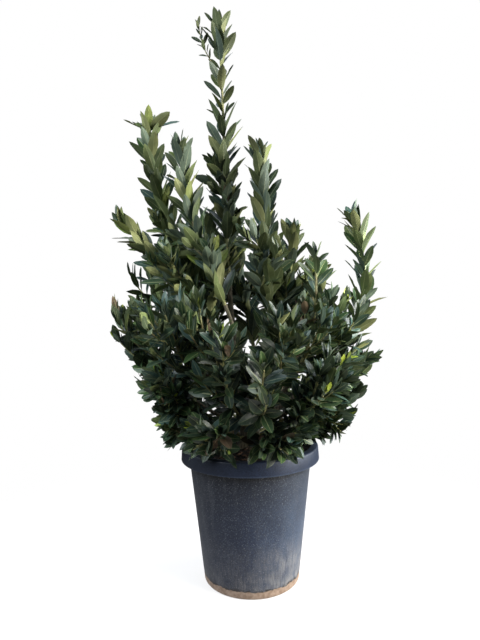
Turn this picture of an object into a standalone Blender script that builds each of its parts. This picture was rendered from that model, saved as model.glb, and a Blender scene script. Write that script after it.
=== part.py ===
"""Bay laurel shrub in a plastic nursery pot, in metres, +Z up, the origin under the middle of the pot.
The front of the shrub faces -Y.

A short stem stands in the pot's root ball and forks into limbs. Each limb is one smooth line: its bare lower
part is a bough, and its upper part is the stem of a mass, with side twigs and leaves fused on. The low sprays
are leafy from the short stem on. Every mass keeps to the space that lies nearest to its own limb.
"""

import math
import random
from collections import namedtuple

import bmesh
import bpy
from mathutils import Matrix, Vector
from mathutils.bvhtree import BVHTree
from mathutils.kdtree import KDTree

# ---------------------------------------------------------------- driving dimensions
POT_HEIGHT = 0.358
POT_RIM_RADIUS = 0.185  # at the skirt's lower edge, the widest place
POT_BASE_RADIUS = 0.127
POT_TAPER = 0.112  # growth of the wall's radius for each metre of height
POT_WALL = 0.003
POT_EDGE = 0.004  # chamfer round the underside
SKIRT_DROP = 0.036  # from the rim's top to the skirt's lower edge
SKIRT_FLARE = 0.0025  # from the rim's shoulder to the skirt's lower edge
RIM_ROLL = 0.005  # radius of the rim's rounded edge
SOIL_BELOW_RIM = 0.014
SOIL_MOUND = 0.006
FLOOR_EDGE = 0.012  # height of the sloping edge inside
DRAIN_RING_RADIUS = 0.079
DRAIN_HOLE_RADIUS = 0.008
DRAIN_HOLES = 6

STEM_HEIGHT = 0.130  # of the short stem above the soil
STEM_RADIUS = 0.026
STEM_FLARE = 0.014  # of its foot, past its radius
STEM_LOBES = 5  # of the root flare
STEM_LOBE_DEPTH = 0.16  # as a share of the radius
STEM_HEAD = 0.70  # share of its height where its head starts to draw in

LEAF_LENGTH = 0.115
LEAF_WIDTH = 0.050
LEAF_THICKNESS = 0.0020
TIP_LEAF = 0.65  # length of the leaf at a tip, of a full leaf's
LEAF_STEPS = (0.031, 0.046, 0.048, 0.048)  # along a stem or twig, by tier
LEAF_SPREAD = (32, 52)  # degrees from its stem, from and to
LEAF_DROOP = 0.12  # share of a low leaf's direction that turns to the ground
LEAF_TRIES = 5  # to find a leaf room, each turned on by NEXT_TRY
NEXT_TRY = math.radians(75)
LEAF_SINK = 0.0006  # of a leaf's root past the middle of its stem
TWIG_RADIUS = 0.0026
TWIG_SPREAD = (36, 52)  # degrees from its stem, from and to
TWIG_RISE = (0.7, 0.7, 0.25, 0.0)  # how far a twig turns up on its way, by tier
BOUGH_TWIGS = (0.10, 0.72)  # shares of a mass's stem between which it has twigs
SPRAY_TWIGS = (0.34, 0.84)  # the same on a low spray
SPRAY_LEAVES = 0.28  # share of a low spray's stem below its first leaf
TURN = math.radians(137.5)  # from each leaf or twig to the next, round its stem
GAP = 0.0003  # between neighbouring solids
CROWN_REACH = 0.378  # furthest from the pot's middle that a leaf reaches
RIM_REACH = 0.290  # the same just above the pot's rim
REACH_GROWTH = 0.36  # of the reach, for each metre above the rim
HANG_HEIGHT = 0.342  # of the lowest leaf tips
PLANT_HEIGHT = 1.532
SEED = 7

POT_SIDES = 36
STEM_SIDES = 15
STEM_RINGS = 8
BOUGH_SIDES = 6
BOUGH_STEPS = 5
MASS_STEM_STEPS = 6
MASS_STEM_SIDES = 4
TWIG_SIDES = 3

SOIL_TOP = POT_HEIGHT - SOIL_BELOW_RIM + SOIL_MOUND
STEM_FOOT = SOIL_TOP + GAP

# Each limb runs from the short stem to the tip of its leafy stem. tier is the height at which it leaves the
# short stem, 0 the highest. foot_lean and tip_lean are its leans from the vertical there, in degrees,
# outwards from the pot's middle. bare is the share of its length that is a bough, 0 on a low spray.
Limb = namedtuple("Limb", "name tip tier foot_lean tip_lean bare twigs twig_length radius")
LIMBS = (
    Limb("tall_leader", (-0.066, 0.000, 1.461), 0, 9, 3, 0.34, 2, 0.08, 0.0085),
    Limb("left_leader", (-0.266, 0.040, 1.215), 0, 30, 4, 0.42, 2, 0.07, 0.0070),
    Limb("inner_left_leader", (-0.170, -0.040, 1.120), 0, 22, 4, 0.42, 2, 0.07, 0.0065),
    Limb("centre_leader", (0.038, -0.050, 1.105), 0, 22, -2, 0.38, 2, 0.07, 0.0075),
    Limb("right_shoulder", (0.128, 0.050, 0.914), 0, 24, 4, 0.40, 4, 0.10, 0.0065),
    Limb("far_left", (-0.322, -0.020, 0.938), 0, 14, 50, 0.42, 4, 0.10, 0.0065),
    Limb("back_leader", (-0.041, 0.200, 0.954), 0, 30, 6, 0.42, 4, 0.10, 0.0065),
    Limb("small_left_leader", (-0.106, 0.060, 0.950), 1, 42, 2, 0.45, 2, 0.08, 0.0060),
    Limb("far_right_leader", (0.292, 0.010, 0.945), 1, 74, -22, 0.46, 2, 0.06, 0.0070),
    Limb("right_leader", (0.169, -0.100, 0.836), 1, 56, -3, 0.40, 4, 0.09, 0.0065),
    Limb("mid_left", (-0.276, 0.090, 0.815), 1, 48, 22, 0.42, 4, 0.10, 0.0060),
    Limb("back_left", (-0.208, 0.220, 0.786), 1, 48, 14, 0.42, 4, 0.10, 0.0060),
    Limb("back_right", (0.126, 0.240, 0.797), 1, 46, 12, 0.42, 4, 0.10, 0.0060),
    Limb("front_mid", (-0.118, -0.165, 0.722), 1, 46, 10, 0.40, 4, 0.10, 0.0060),
    Limb("front_right", (0.098, -0.185, 0.675), 1, 50, 8, 0.40, 4, 0.10, 0.0060),
    Limb("low_left", (-0.286, -0.060, 0.705), 2, 64, 14, 0.42, 4, 0.10, 0.0055),
    Limb("front_left", (-0.200, -0.160, 0.709), 2, 60, 20, 0.40, 4, 0.10, 0.0055),
    Limb("right_back", (0.190, 0.165, 0.745), 2, 58, 12, 0.42, 4, 0.10, 0.0055),
    Limb("right_mid", (0.238, -0.060, 0.685), 2, 68, 8, 0.40, 4, 0.10, 0.0055),
    Limb("front_left_spray", (-0.070, -0.235, 0.655), 2, 68, 6, 0.0, 4, 0.09, 0.0050),
    Limb("front_centre_spray", (0.012, -0.250, 0.583), 2, 74, 14, 0.0, 4, 0.09, 0.0050),
    Limb("right_back_spray", (0.250, 0.150, 0.540), 2, 73, 42, 0.0, 5, 0.09, 0.0050),
    Limb("back_left_spray", (-0.136, 0.260, 0.527), 2, 76, 34, 0.0, 5, 0.09, 0.0050),
    Limb("back_right_spray", (0.092, 0.270, 0.522), 2, 76, 34, 0.0, 5, 0.09, 0.0050),
    Limb("left_back_spray", (-0.265, 0.095, 0.577), 2, 74, 38, 0.0, 5, 0.09, 0.0050),
    Limb("front_right_spray", (0.159, -0.200, 0.564), 3, 80, 20, 0.0, 5, 0.09, 0.0050),
    Limb("right_low_spray", (0.262, -0.030, 0.548), 3, 80, 36, 0.0, 5, 0.09, 0.0050),
    Limb("left_low_spray", (-0.212, -0.120, 0.555), 3, 80, 32, 0.0, 5, 0.09, 0.0050),
    Limb("right_skirt", (0.245, -0.085, 0.448), 3, 84, 78, 0.0, 4, 0.07, 0.0040),
    Limb("left_skirt", (-0.222, -0.060, 0.422), 3, 84, 82, 0.0, 4, 0.07, 0.0040),
    Limb("front_left_skirt", (-0.106, -0.200, 0.417), 3, 84, 88, 0.0, 4, 0.07, 0.0040),
    Limb("front_right_skirt", (0.079, -0.210, 0.416), 3, 84, 88, 0.0, 4, 0.07, 0.0040),
    Limb("back_skirt", (0.008, 0.220, 0.434), 3, 84, 84, 0.0, 4, 0.07, 0.0040),
)
TIER_SHARES = (0.78, 0.54, 0.36, 0.20)  # of the short stem's height
TIER_OFFSETS = (0.55, 0.30, 0.30, 0.30)  # from the middle, as a share of the short stem's radius


# ---------------------------------------------------------------- objects and materials
def material(name, colour, roughness):
    made = bpy.data.materials.new(name)
    made.use_nodes = True
    shader = made.node_tree.nodes["Principled BSDF"]
    shader.inputs["Base Color"].default_value = (*colour, 1.0)
    shader.inputs["Roughness"].default_value = roughness
    shader.inputs["Metallic"].default_value = 0.0
    return made


def link_object(name, bm, surface=None):
    """An object from bm, which is freed."""
    mesh = bpy.data.meshes.new(name)
    bm.to_mesh(mesh)
    bm.free()
    if surface:
        mesh.materials.append(surface)
    made = bpy.data.objects.new(name, mesh)
    bpy.context.scene.collection.objects.link(made)
    return made


# ---------------------------------------------------------------- pot and root ball
def wall_radius(height):
    """Outer radius of the pot's wall."""
    return POT_BASE_RADIUS + POT_TAPER * height


def turned(name, profile, surface):
    """A solid turned round Z from a profile of (radius, height) that starts and ends on the axis."""
    bm = bmesh.new()
    points = [bm.verts.new((radius, 0.0, height)) for radius, height in profile]
    edges = [bm.edges.new(pair) for pair in zip(points, points[1:])]
    bmesh.ops.spin(
        bm,
        geom=points + edges,
        cent=(0.0, 0.0, 0.0),
        axis=(0.0, 0.0, 1.0),
        angle=math.tau,
        steps=POT_SIDES,
        use_merge=True,
    )
    bmesh.ops.remove_doubles(bm, verts=bm.verts, dist=1e-5)
    bmesh.ops.recalc_face_normals(bm, faces=bm.faces)
    made = link_object(name, bm, surface)
    made.data.shade_smooth()
    made.data.set_sharp_from_angle(angle=math.radians(35))
    return made


def pot_profile():
    """Up the outside, under and over the rim with its hanging skirt, and down the inside."""
    skirt_foot = POT_HEIGHT - SKIRT_DROP
    shoulder = POT_RIM_RADIUS - SKIRT_FLARE
    underside = POT_HEIGHT - 2 * POT_WALL
    return (
        (0.0, 0.0),
        (POT_BASE_RADIUS - POT_EDGE, 0.0),
        (wall_radius(POT_EDGE), POT_EDGE),
        (wall_radius(underside), underside),
        (shoulder - RIM_ROLL, underside),
        (POT_RIM_RADIUS - POT_WALL, skirt_foot),
        (POT_RIM_RADIUS, skirt_foot),
        (shoulder, POT_HEIGHT - RIM_ROLL),
        (shoulder - 0.3 * RIM_ROLL, POT_HEIGHT - 0.3 * RIM_ROLL),
        (shoulder - RIM_ROLL, POT_HEIGHT),
        (wall_radius(POT_HEIGHT) - POT_WALL, POT_HEIGHT),
        (wall_radius(FLOOR_EDGE) - POT_WALL, FLOOR_EDGE),
        (POT_BASE_RADIUS - POT_WALL - FLOOR_EDGE / 2, POT_WALL),
        (0.0, POT_WALL),
    )


def build_pot(surface):
    """The pot, with its drain holes cut through the floor."""
    pot = turned("pot", pot_profile(), surface)
    for index in range(DRAIN_HOLES):
        turn = Matrix.Rotation(math.tau * (index + 0.37) / DRAIN_HOLES, 4, "Z")
        bm = bmesh.new()
        bmesh.ops.create_cone(
            bm,
            cap_ends=True,
            segments=8,
            radius1=DRAIN_HOLE_RADIUS,
            radius2=DRAIN_HOLE_RADIUS,
            depth=6 * POT_WALL,
            matrix=turn @ Matrix.Translation((DRAIN_RING_RADIUS, 0.0, 0.0)),
        )
        cutter = link_object(f"drain_hole_{index}", bm)
        cutter.hide_render = True
        cutter.display_type = "WIRE"
        hole = pot.modifiers.new(f"Drain hole {index}", "BOOLEAN")
        hole.operation = "DIFFERENCE"
        hole.object = cutter
    return pot


def build_root_ball(surface):
    """The compost that fills the pot, clear of its wall and floor."""
    edge_height = POT_HEIGHT - SOIL_BELOW_RIM
    inner = POT_WALL + 2 * GAP
    floor = POT_WALL + GAP
    profile = (
        (0.0, floor),
        (POT_BASE_RADIUS - inner - FLOOR_EDGE / 2, floor),
        (wall_radius(FLOOR_EDGE) - inner, FLOOR_EDGE + GAP),
        (wall_radius(edge_height) - inner, edge_height),
        (0.5 * POT_BASE_RADIUS, SOIL_TOP),
        (0.0, SOIL_TOP),
    )
    return turned("root_ball", profile, surface)


# ---------------------------------------------------------------- short stem
def short_stem_mesh(grow=0.0):
    """A tapering stem with lobes in its root flare and a rounded head. grow gives the limbs' cutter."""
    bm = bmesh.new()
    ring = None
    for index in range(STEM_RINGS + 1):
        share = index / STEM_RINGS
        foot = math.exp(-6 * share)
        head = math.sqrt(1 - max(0.0, 0.8 * (share - STEM_HEAD) / (1 - STEM_HEAD)) ** 2)
        radius = (STEM_RADIUS * (1 - 0.10 * share) + STEM_FLARE * foot) * head + grow
        height = STEM_FOOT + (STEM_HEIGHT + 2 * grow) * share - grow
        placing = Matrix.Translation((0.0, 0.0, height))
        loop = bmesh.ops.create_circle(bm, segments=STEM_SIDES, radius=radius, matrix=placing)["verts"]
        for vertex in loop:
            angle = math.atan2(vertex.co.y, vertex.co.x)
            lobe = 1 + STEM_LOBE_DEPTH * foot * math.cos(STEM_LOBES * angle)
            vertex.co.x *= lobe
            vertex.co.y *= lobe
        close_ring(bm, ring, loop)
        ring = loop
    bm.faces.new(ring)
    bmesh.ops.recalc_face_normals(bm, faces=bm.faces)
    return bm


def close_ring(bm, ring, loop):
    """Faces from ring to loop, or the end face where there is no ring yet."""
    if ring is None:
        bm.faces.new(reversed(loop))
        return
    for corners in zip(ring, ring[1:] + ring[:1], loop[1:] + loop[:1], loop):
        bm.faces.new(corners)


# ---------------------------------------------------------------- limb lines
def foot_bearings():
    """Each limb's bearing at the short stem: even steps round each tier, in the order of the tips."""
    bearings = {}
    for tier in range(len(TIER_SHARES)):
        limbs = [limb for limb in LIMBS if limb.tier == tier]
        limbs.sort(key=lambda limb: math.atan2(limb.tip[1], limb.tip[0]))
        step = math.tau / len(limbs)
        offsets = [math.atan2(limb.tip[1], limb.tip[0]) - index * step for index, limb in enumerate(limbs)]
        middle = math.atan2(sum(map(math.sin, offsets)), sum(map(math.cos, offsets)))
        for index, limb in enumerate(limbs):
            bearings[limb.name] = middle + index * step
    return bearings


def limb_line(limb, bearing):
    """The four control points of a limb's smooth line."""
    tip = Vector(limb.tip)
    outward_foot = Vector((math.cos(bearing), math.sin(bearing), 0.0))
    outward_tip = Vector((tip.x, tip.y, 0.0)).normalized()
    up = Vector((0.0, 0.0, 1.0))
    foot = outward_foot * STEM_RADIUS * TIER_OFFSETS[limb.tier]
    foot += up * (STEM_FOOT + STEM_HEIGHT * TIER_SHARES[limb.tier])
    handle = 0.40 * (tip - foot).length
    foot_lean = math.radians(limb.foot_lean)
    tip_lean = math.radians(limb.tip_lean)
    leaving = outward_foot * math.sin(foot_lean) + up * math.cos(foot_lean)
    arriving = outward_tip * math.sin(tip_lean) + up * math.cos(tip_lean)
    return foot, foot + leaving * handle, tip - arriving * handle, tip


def on_line(line, share):
    """Point at a share of the line from its foot."""
    foot, foot_handle, tip_handle, tip = line
    rest = 1 - share
    return (
        foot * rest**3
        + foot_handle * 3 * share * rest**2
        + tip_handle * 3 * share**2 * rest
        + tip * share**3
    )


def velocity(line, share):
    """How the line's point moves for each unit of share."""
    step = 0.01
    return (on_line(line, share + step) - on_line(line, share - step)) / (2 * step)


def limb_radius(limb, share):
    return limb.radius + (TWIG_RADIUS - limb.radius) * share


# ---------------------------------------------------------------- bars and leaves
def bar(points, headings, radii, sides):
    """A tapering bar through the points, square to its headings, with flat ends."""
    bm = bmesh.new()
    ring = None
    normal = headings[0].orthogonal().normalized()
    for point, along, radius in zip(points, headings, radii):
        normal = (normal - along * normal.dot(along)).normalized()
        frame = Matrix((normal, along.cross(normal), along)).transposed().to_4x4()
        frame.translation = point
        loop = bmesh.ops.create_circle(bm, segments=sides, radius=radius, matrix=frame)["verts"]
        close_ring(bm, ring, loop)
        ring = loop
    bm.faces.new(ring)
    bmesh.ops.recalc_face_normals(bm, faces=bm.faces)
    return bm


def limb_bar(limb, line, start, end, steps, sides, grow=0.0):
    """The stretch of a limb between two shares of its line."""
    shares = [start + (end - start) * index / steps for index in range(steps + 1)]
    points = [on_line(line, share) for share in shares]
    headings = [velocity(line, share).normalized() for share in shares]
    return bar(points, headings, [limb_radius(limb, share) + grow for share in shares], sides)


def leaf(root, along, face, length, grow=0.0, begin=0.0):
    """A six-faced leaf from a point: flat towards face, keeled below, with its tip bent down.

    begin leaves out that share of its length next to the root.
    """
    side = along.cross(face).normalized()
    upper = side.cross(along)
    half_width = LEAF_WIDTH * length / LEAF_LENGTH / 2 + grow
    middle = root + along * 0.45 * length + upper * grow
    bm = bmesh.new()
    base = bm.verts.new(root + along * (begin * length - grow))
    tip = bm.verts.new(root + along * (length + grow) - upper * 0.05 * length)
    left = bm.verts.new(middle + side * half_width)
    right = bm.verts.new(middle - side * half_width)
    keel = bm.verts.new(root + along * 0.35 * length - upper * (LEAF_THICKNESS + grow))
    for first, second in ((left, right), (right, keel), (keel, left)):
        bm.faces.new((first, second, tip))
        bm.faces.new((second, first, base))
    bmesh.ops.recalc_face_normals(bm, faces=bm.faces)
    return bm


# ---------------------------------------------------------------- room for each mass
def bounds(bm):
    corners = [vertex.co for vertex in bm.verts]
    low = Vector([min(corner[axis] for corner in corners) for axis in range(3)])
    high = Vector([max(corner[axis] for corner in corners) for axis in range(3)])
    return low, high


class Room:
    """What is already in place, and the space of each limb: all that lies nearest to its line."""

    def __init__(self, lines):
        self.solids = []
        self.owners = []
        samples = [(name, on_line(line, index / 30)) for name, line in lines.items() for index in range(31)]
        self.nearest = KDTree(len(samples))
        for index, (name, point) in enumerate(samples):
            self.nearest.insert(point, index)
            self.owners.append(name)
        self.nearest.balance()

    def add(self, bm, owner):
        self.solids.append((BVHTree.FromBMesh(bm), *bounds(bm), owner))

    def own(self, point, owner):
        """Whether a point lies in the owner's space and in the crown."""
        reach = min(CROWN_REACH, RIM_REACH + REACH_GROWTH * max(0.0, point.z - POT_HEIGHT))
        if math.hypot(point.x, point.y) > reach or not HANG_HEIGHT < point.z < PLANT_HEIGHT:
            return False
        return self.owners[self.nearest.find(point)[1]] == owner

    def clear(self, bm, owner, other_owners_only=True):
        """Whether bm touches nothing, or nothing but the owner's own twigs and leaves."""
        tree = BVHTree.FromBMesh(bm)
        low, high = bounds(bm)
        for other, other_low, other_high, other_owner in self.solids:
            if other_owners_only and other_owner == owner:
                continue
            if any(low[axis] > other_high[axis] or high[axis] < other_low[axis] for axis in range(3)):
                continue
            if tree.overlap(other):
                return False
        return True

    def has_place_for(self, owner, root, along, face, length):
        """Whether a leaf fits: nothing near it, and nothing of its own mass but at its root."""
        if not all(self.own(root + along * share * length, owner) for share in (0.5, 1.0)):
            return False
        whole = leaf(root, along, face, length, grow=GAP)
        blade = leaf(root, along, face, length, begin=0.2)
        free = self.clear(whole, owner) and self.clear(blade, owner, other_owners_only=False)
        whole.free()
        blade.free()
        return free


# ---------------------------------------------------------------- growth of a mass
def turned_out(along, angle, spread):
    """A direction at spread from along, turned by angle round it, angle 0 towards the ground."""
    level = along.cross(Vector((0.0, 0.0, 1.0)))
    level = level.normalized() if level.length > 0.05 else along.orthogonal().normalized()
    down = along.cross(level).normalized()
    radial = down * math.cos(angle) + level * math.sin(angle)
    return along * math.cos(spread) + radial * math.sin(spread), radial


def add_leaf(pieces, room, limb, point, along, angle, chance, size):
    """One leaf on a stem at point, turned on and smaller where there is no room, and at last left out."""
    for attempt in range(LEAF_TRIES):
        spread = math.radians(chance.uniform(*LEAF_SPREAD))
        length = LEAF_LENGTH * size * chance.uniform(0.85, 1.05) * (1 - 0.06 * attempt)
        direction, radial = turned_out(along, angle + chance.uniform(-0.3, 0.3), spread)
        face = along * math.sin(spread) - radial * math.cos(spread)
        if limb.tier > 1:
            direction = (direction - Vector((0.0, 0.0, LEAF_DROOP))).normalized()
        root = point - direction * LEAF_SINK
        if room.has_place_for(limb.name, root, direction, face, length):
            pieces.append(leaf(root, direction, face, length))
            room.add(pieces[-1], limb.name)
            return
        angle += NEXT_TRY


def leafy(pieces, room, limb, points, chance, size=1.0):
    """Leaves along a stem or twig through the points, with one at its tip."""
    step = LEAF_STEPS[limb.tier]
    reach = 0.4 * step
    travelled = 0.0
    angle = chance.uniform(0, math.tau)
    for start, end in zip(points, points[1:]):
        along = (end - start).normalized()
        length = (end - start).length
        while reach < travelled + length - 2 * LEAF_THICKNESS:
            point = start + along * (reach - travelled)
            add_leaf(pieces, room, limb, point, along, angle, chance, size)
            reach += step * chance.uniform(0.85, 1.15)
            angle += TURN
        travelled += length
    direction, radial = turned_out(along, angle, spread=0.10)
    root = points[-1] - along * 2 * TWIG_RADIUS
    length = TIP_LEAF * LEAF_LENGTH * size
    if room.has_place_for(limb.name, root, direction, radial, length):
        pieces.append(leaf(root, direction, radial, length))
        room.add(pieces[-1], limb.name)


def add_twig(pieces, room, limb, root, along, angle, chance):
    """A side twig that bends up along its stem, with its leaves, unless it would leave its mass's space."""
    direction, _ = turned_out(along, angle, math.radians(chance.uniform(*TWIG_SPREAD)))
    half = 0.5 * limb.twig_length * chance.uniform(0.8, 1.1)
    root = root - direction * 0.001
    middle = root + direction * half
    rise = Vector((0.0, 0.0, TWIG_RISE[limb.tier]))
    end = middle + (direction + 0.5 * along + rise).normalized() * half
    if not (room.own(middle, limb.name) and room.own(end, limb.name)):
        return
    points = [root, middle, end]
    headings = [direction, (end - root).normalized(), (end - middle).normalized()]
    radii = [0.8 * TWIG_RADIUS, 0.8 * TWIG_RADIUS, 0.6 * TWIG_RADIUS]
    test = bar(points, headings, [radius + GAP for radius in radii], TWIG_SIDES)
    free = room.clear(test, limb.name)
    test.free()
    if free:
        pieces.append(bar(points, headings, radii, TWIG_SIDES))
        room.add(pieces[-1], limb.name)
        leafy(pieces, room, limb, points, chance, size=0.92)


def grow_mass(limb, line, start, room, chance):
    """Side twigs and leaves on the stem, each a bmesh of its own."""
    pieces = []
    low, high = BOUGH_TWIGS if limb.bare else SPRAY_TWIGS
    for index in range(limb.twigs):
        share = start + (1 - start) * (low + (high - low) * (index + 0.5) / limb.twigs)
        along = velocity(line, share).normalized()
        angle = index * TURN + chance.uniform(0.9, 1.5)
        add_twig(pieces, room, limb, on_line(line, share), along, angle, chance)
    first = start if limb.bare else SPRAY_LEAVES
    shares = [first + (1 - first) * index / 12 for index in range(13)]
    leafy(pieces, room, limb, [on_line(line, share) for share in shares], chance)
    return pieces


def evaluated_mesh(made):
    """A mesh of the object with its modifiers."""
    bpy.context.view_layer.update()
    return bpy.data.meshes.new_from_object(made.evaluated_get(bpy.context.evaluated_depsgraph_get()))


def tidied(mesh):
    """The mesh as triangles without loose scraps, or None where that isn't one closed surface."""
    bm = bmesh.new()
    bm.from_mesh(mesh)
    bmesh.ops.triangulate(bm, faces=bm.faces)
    left = set(bm.verts)
    islands = []
    while left:
        island = {left.pop()}
        front = list(island)
        while front:
            vertex = front.pop()
            reached = {edge.other_vert(vertex) for edge in vertex.link_edges} & left
            left -= reached
            island |= reached
            front.extend(reached)
        islands.append(island)
    islands.sort(key=len)
    scraps = [vertex for island in islands[:-1] for vertex in island]
    bmesh.ops.delete(bm, geom=scraps, context="VERTS")
    closed = all(edge.is_manifold and edge.is_contiguous for edge in bm.edges)
    closed = closed and all(vertex.is_manifold for vertex in bm.verts)
    tidy = None
    if closed:
        tidy = bpy.data.meshes.new(mesh.name)
        bm.to_mesh(tidy)
    bm.free()
    return tidy


def trim_to_stem(made):
    """Cuts a limb clear of the short stem."""
    cutter = link_object("stem_cutter", short_stem_mesh(grow=GAP))
    cut = made.modifiers.new("Clear of the short stem", "BOOLEAN")
    cut.operation = "DIFFERENCE"
    cut.object = cutter
    made.data = evaluated_mesh(made)
    made.modifiers.clear()
    bpy.data.objects.remove(cutter)


def union_of(made, union):
    """The closed mesh that the union gives, by the first solver that gives one."""
    for solver in ("EXACT", "MANIFOLD"):
        union.solver = solver
        joined = tidied(evaluated_mesh(made))
        if joined:
            return joined
    return None


def fuse(made, pieces):
    """Joins the pieces to the object in one union, without the one piece that keeps it from closing."""
    group = bpy.data.collections.new("pieces")
    bpy.context.scene.collection.children.link(group)
    for piece in pieces:
        mesh = bpy.data.meshes.new("piece")
        piece.to_mesh(mesh)
        piece.free()
        group.objects.link(bpy.data.objects.new("piece", mesh))
    union = made.modifiers.new("Twigs and leaves", "BOOLEAN")
    union.operation = "UNION"
    union.operand_type = "COLLECTION"
    union.collection = group
    joined = union_of(made, union)
    for piece in list(group.objects):
        if joined:
            break
        group.objects.unlink(piece)
        joined = union_of(made, union)
        if not joined:
            group.objects.link(piece)
    made.modifiers.clear()
    joined.materials.append(made.data.materials[0])
    made.data = joined
    for thing in list(group.objects):
        bpy.data.objects.remove(thing)
    bpy.data.collections.remove(group)


# ---------------------------------------------------------------- the whole plant
def build():
    for thing in list(bpy.data.objects):
        bpy.data.objects.remove(thing)
    plastic = material("slate_plastic", (0.050, 0.060, 0.080), 0.55)
    compost = material("compost", (0.030, 0.020, 0.014), 0.95)
    bark = material("laurel_bark", (0.115, 0.090, 0.055), 0.80)
    foliage = material("laurel_leaf", (0.040, 0.075, 0.025), 0.40)

    bearings = foot_bearings()
    lines = {limb.name: limb_line(limb, bearings[limb.name]) for limb in LIMBS}
    room = Room(lines)

    for solid in (build_pot(plastic), build_root_ball(compost)):
        bm = bmesh.new()
        bm.from_mesh(solid.data)
        room.add(bm, solid.name)
        bm.free()
    link_object("short_stem", short_stem_mesh(), bark)
    around_stem = short_stem_mesh(grow=GAP)
    room.add(around_stem, "short_stem")
    around_stem.free()

    mass_starts = {}
    stems = {}
    for limb in LIMBS:
        line = lines[limb.name]
        start = 0.0
        if limb.bare:
            bar_mesh = limb_bar(limb, line, 0.0, limb.bare, BOUGH_STEPS, BOUGH_SIDES)
            trim_to_stem(link_object(limb.name + "_bough", bar_mesh, bark))
            start = limb.bare + GAP / velocity(line, limb.bare).length
            around = limb_bar(limb, line, 0.0, limb.bare, BOUGH_STEPS, BOUGH_SIDES, grow=GAP)
            room.add(around, limb.name + "_bough")
            around.free()
        mass_starts[limb.name] = start
        stem = limb_bar(limb, line, start, 1.0, MASS_STEM_STEPS, MASS_STEM_SIDES)
        room.add(stem, limb.name)
        stems[limb.name] = link_object(limb.name + "_foliage", stem, foliage)
        if not limb.bare:
            trim_to_stem(stems[limb.name])

    for limb in LIMBS:
        chance = random.Random(f"{SEED} {limb.name}")
        pieces = grow_mass(limb, lines[limb.name], mass_starts[limb.name], room, chance)
        fuse(stems[limb.name], pieces)


build()
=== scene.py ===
"""Bay laurel shrub in a plastic nursery pot: the pot, compost, bark, twigs and leaves, and the stage.

In metres, +Z up, the origin under the middle of the pot. The front of the shrub faces -Y.
"""

import math
import random
from collections import namedtuple

import bmesh
import bpy
import numpy as np
from mathutils import Matrix, Vector, noise
from mathutils.kdtree import KDTree


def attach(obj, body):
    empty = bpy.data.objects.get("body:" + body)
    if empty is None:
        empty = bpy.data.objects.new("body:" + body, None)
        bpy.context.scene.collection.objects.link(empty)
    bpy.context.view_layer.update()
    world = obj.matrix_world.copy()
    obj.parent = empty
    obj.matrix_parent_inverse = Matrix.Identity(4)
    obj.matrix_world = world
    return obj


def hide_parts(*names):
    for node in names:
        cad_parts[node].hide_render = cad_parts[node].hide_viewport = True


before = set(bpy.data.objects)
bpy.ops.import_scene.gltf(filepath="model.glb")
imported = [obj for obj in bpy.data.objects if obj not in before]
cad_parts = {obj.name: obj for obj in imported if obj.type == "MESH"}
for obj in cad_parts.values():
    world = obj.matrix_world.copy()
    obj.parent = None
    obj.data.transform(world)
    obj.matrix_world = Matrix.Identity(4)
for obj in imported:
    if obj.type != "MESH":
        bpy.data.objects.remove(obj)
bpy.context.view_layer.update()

# ---------------------------------------------------------------- nursery pot
# A round pot, injection moulded in dark slate polypropylene. Its thin wall tapers down to a rounded foot,
# and a skirt hangs from its rolled rim. Outdoor dust lies on it in streaks, and dried mud round its foot.
POT_HEIGHT = 0.358
POT_RIM_RADIUS = 0.185
POT_BASE_RADIUS = 0.127
POT_TAPER = 0.112  # growth of the wall's radius for each metre of height
POT_WALL = 0.003
SKIRT_DROP = 0.036
SKIRT_FOOT = POT_HEIGHT - SKIRT_DROP
SKIRT_FLARE = 0.0025
FLOOR_EDGE = 0.012
FOOT_ROUNDING = 0.005
RIM_ROUNDING = 0.0045
EDGE_ROUNDING = 0.0012
DRAIN_RING_RADIUS = 0.079
DRAIN_HOLE_RADIUS = 0.008
DRAIN_HOLES = 6
POT_STEPS = 128
SLATE = (0.009, 0.014, 0.029)
SLATE_FADED = (0.016, 0.023, 0.044)
SLATE_SHADED = (0.010, 0.011, 0.014)
# Painted sheen: a pale blue-grey painted on the pot's right side and along the skirt's lip.
PAINTED_SHEEN = (0.078, 0.112, 0.172)
DUST = (0.230, 0.235, 0.245)
LOW_DUST = (0.320, 0.298, 0.272)
MUD_SHADE = (0.022, 0.018, 0.016)
MUD_DARK = (0.190, 0.128, 0.090)
MUD_PALE = (0.300, 0.220, 0.165)
MUD_HEIGHT = 0.021
MUD_RAGGED = 0.016  # how far the mud's edge wanders up and down
# Where the painted sheen, the painted shade and the low dust change, in metres from and to, and how strongly
# they do at each of the two.
PAINTED_SHEEN_ACROSS = (-0.02, 0.14, 0.0, 0.46)
SHADED_ACROSS = (-0.16, -0.01, 0.80, 0.0)
PAINTED_SHADE_HEIGHTS = (0.15, 0.31, 0.0, 0.72)
DUSTY_HEIGHTS = (0.015, 0.15, 1.0, 0.0)
DUSTY_ACROSS = (-0.05, 0.10, 0.25, 1.0)


def wall_radius(height):
    """Outer radius of the pot's wall at a height."""
    return POT_BASE_RADIUS + POT_TAPER * height


def placed(name, mesh, surfaces, replaced=()):
    """Puts a finished piece on the body, with its finish from slot, in place of the replaced nodes."""
    for surface in surfaces:
        mesh.materials.append(surface)
    piece = bpy.data.objects.new(name, mesh)
    bpy.context.scene.collection.objects.link(piece)
    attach(piece, "root")
    if replaced:
        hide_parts(*replaced)


def mesh_of(name, bm, sharp_angle=35):
    """A smoothly shaded mesh from bm, which is freed, with its sharper edges kept sharp."""
    mesh = bpy.data.meshes.new(name)
    bm.to_mesh(mesh)
    bm.free()
    mesh.shade_smooth()
    mesh.set_sharp_from_angle(angle=math.radians(sharp_angle))
    return mesh


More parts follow.
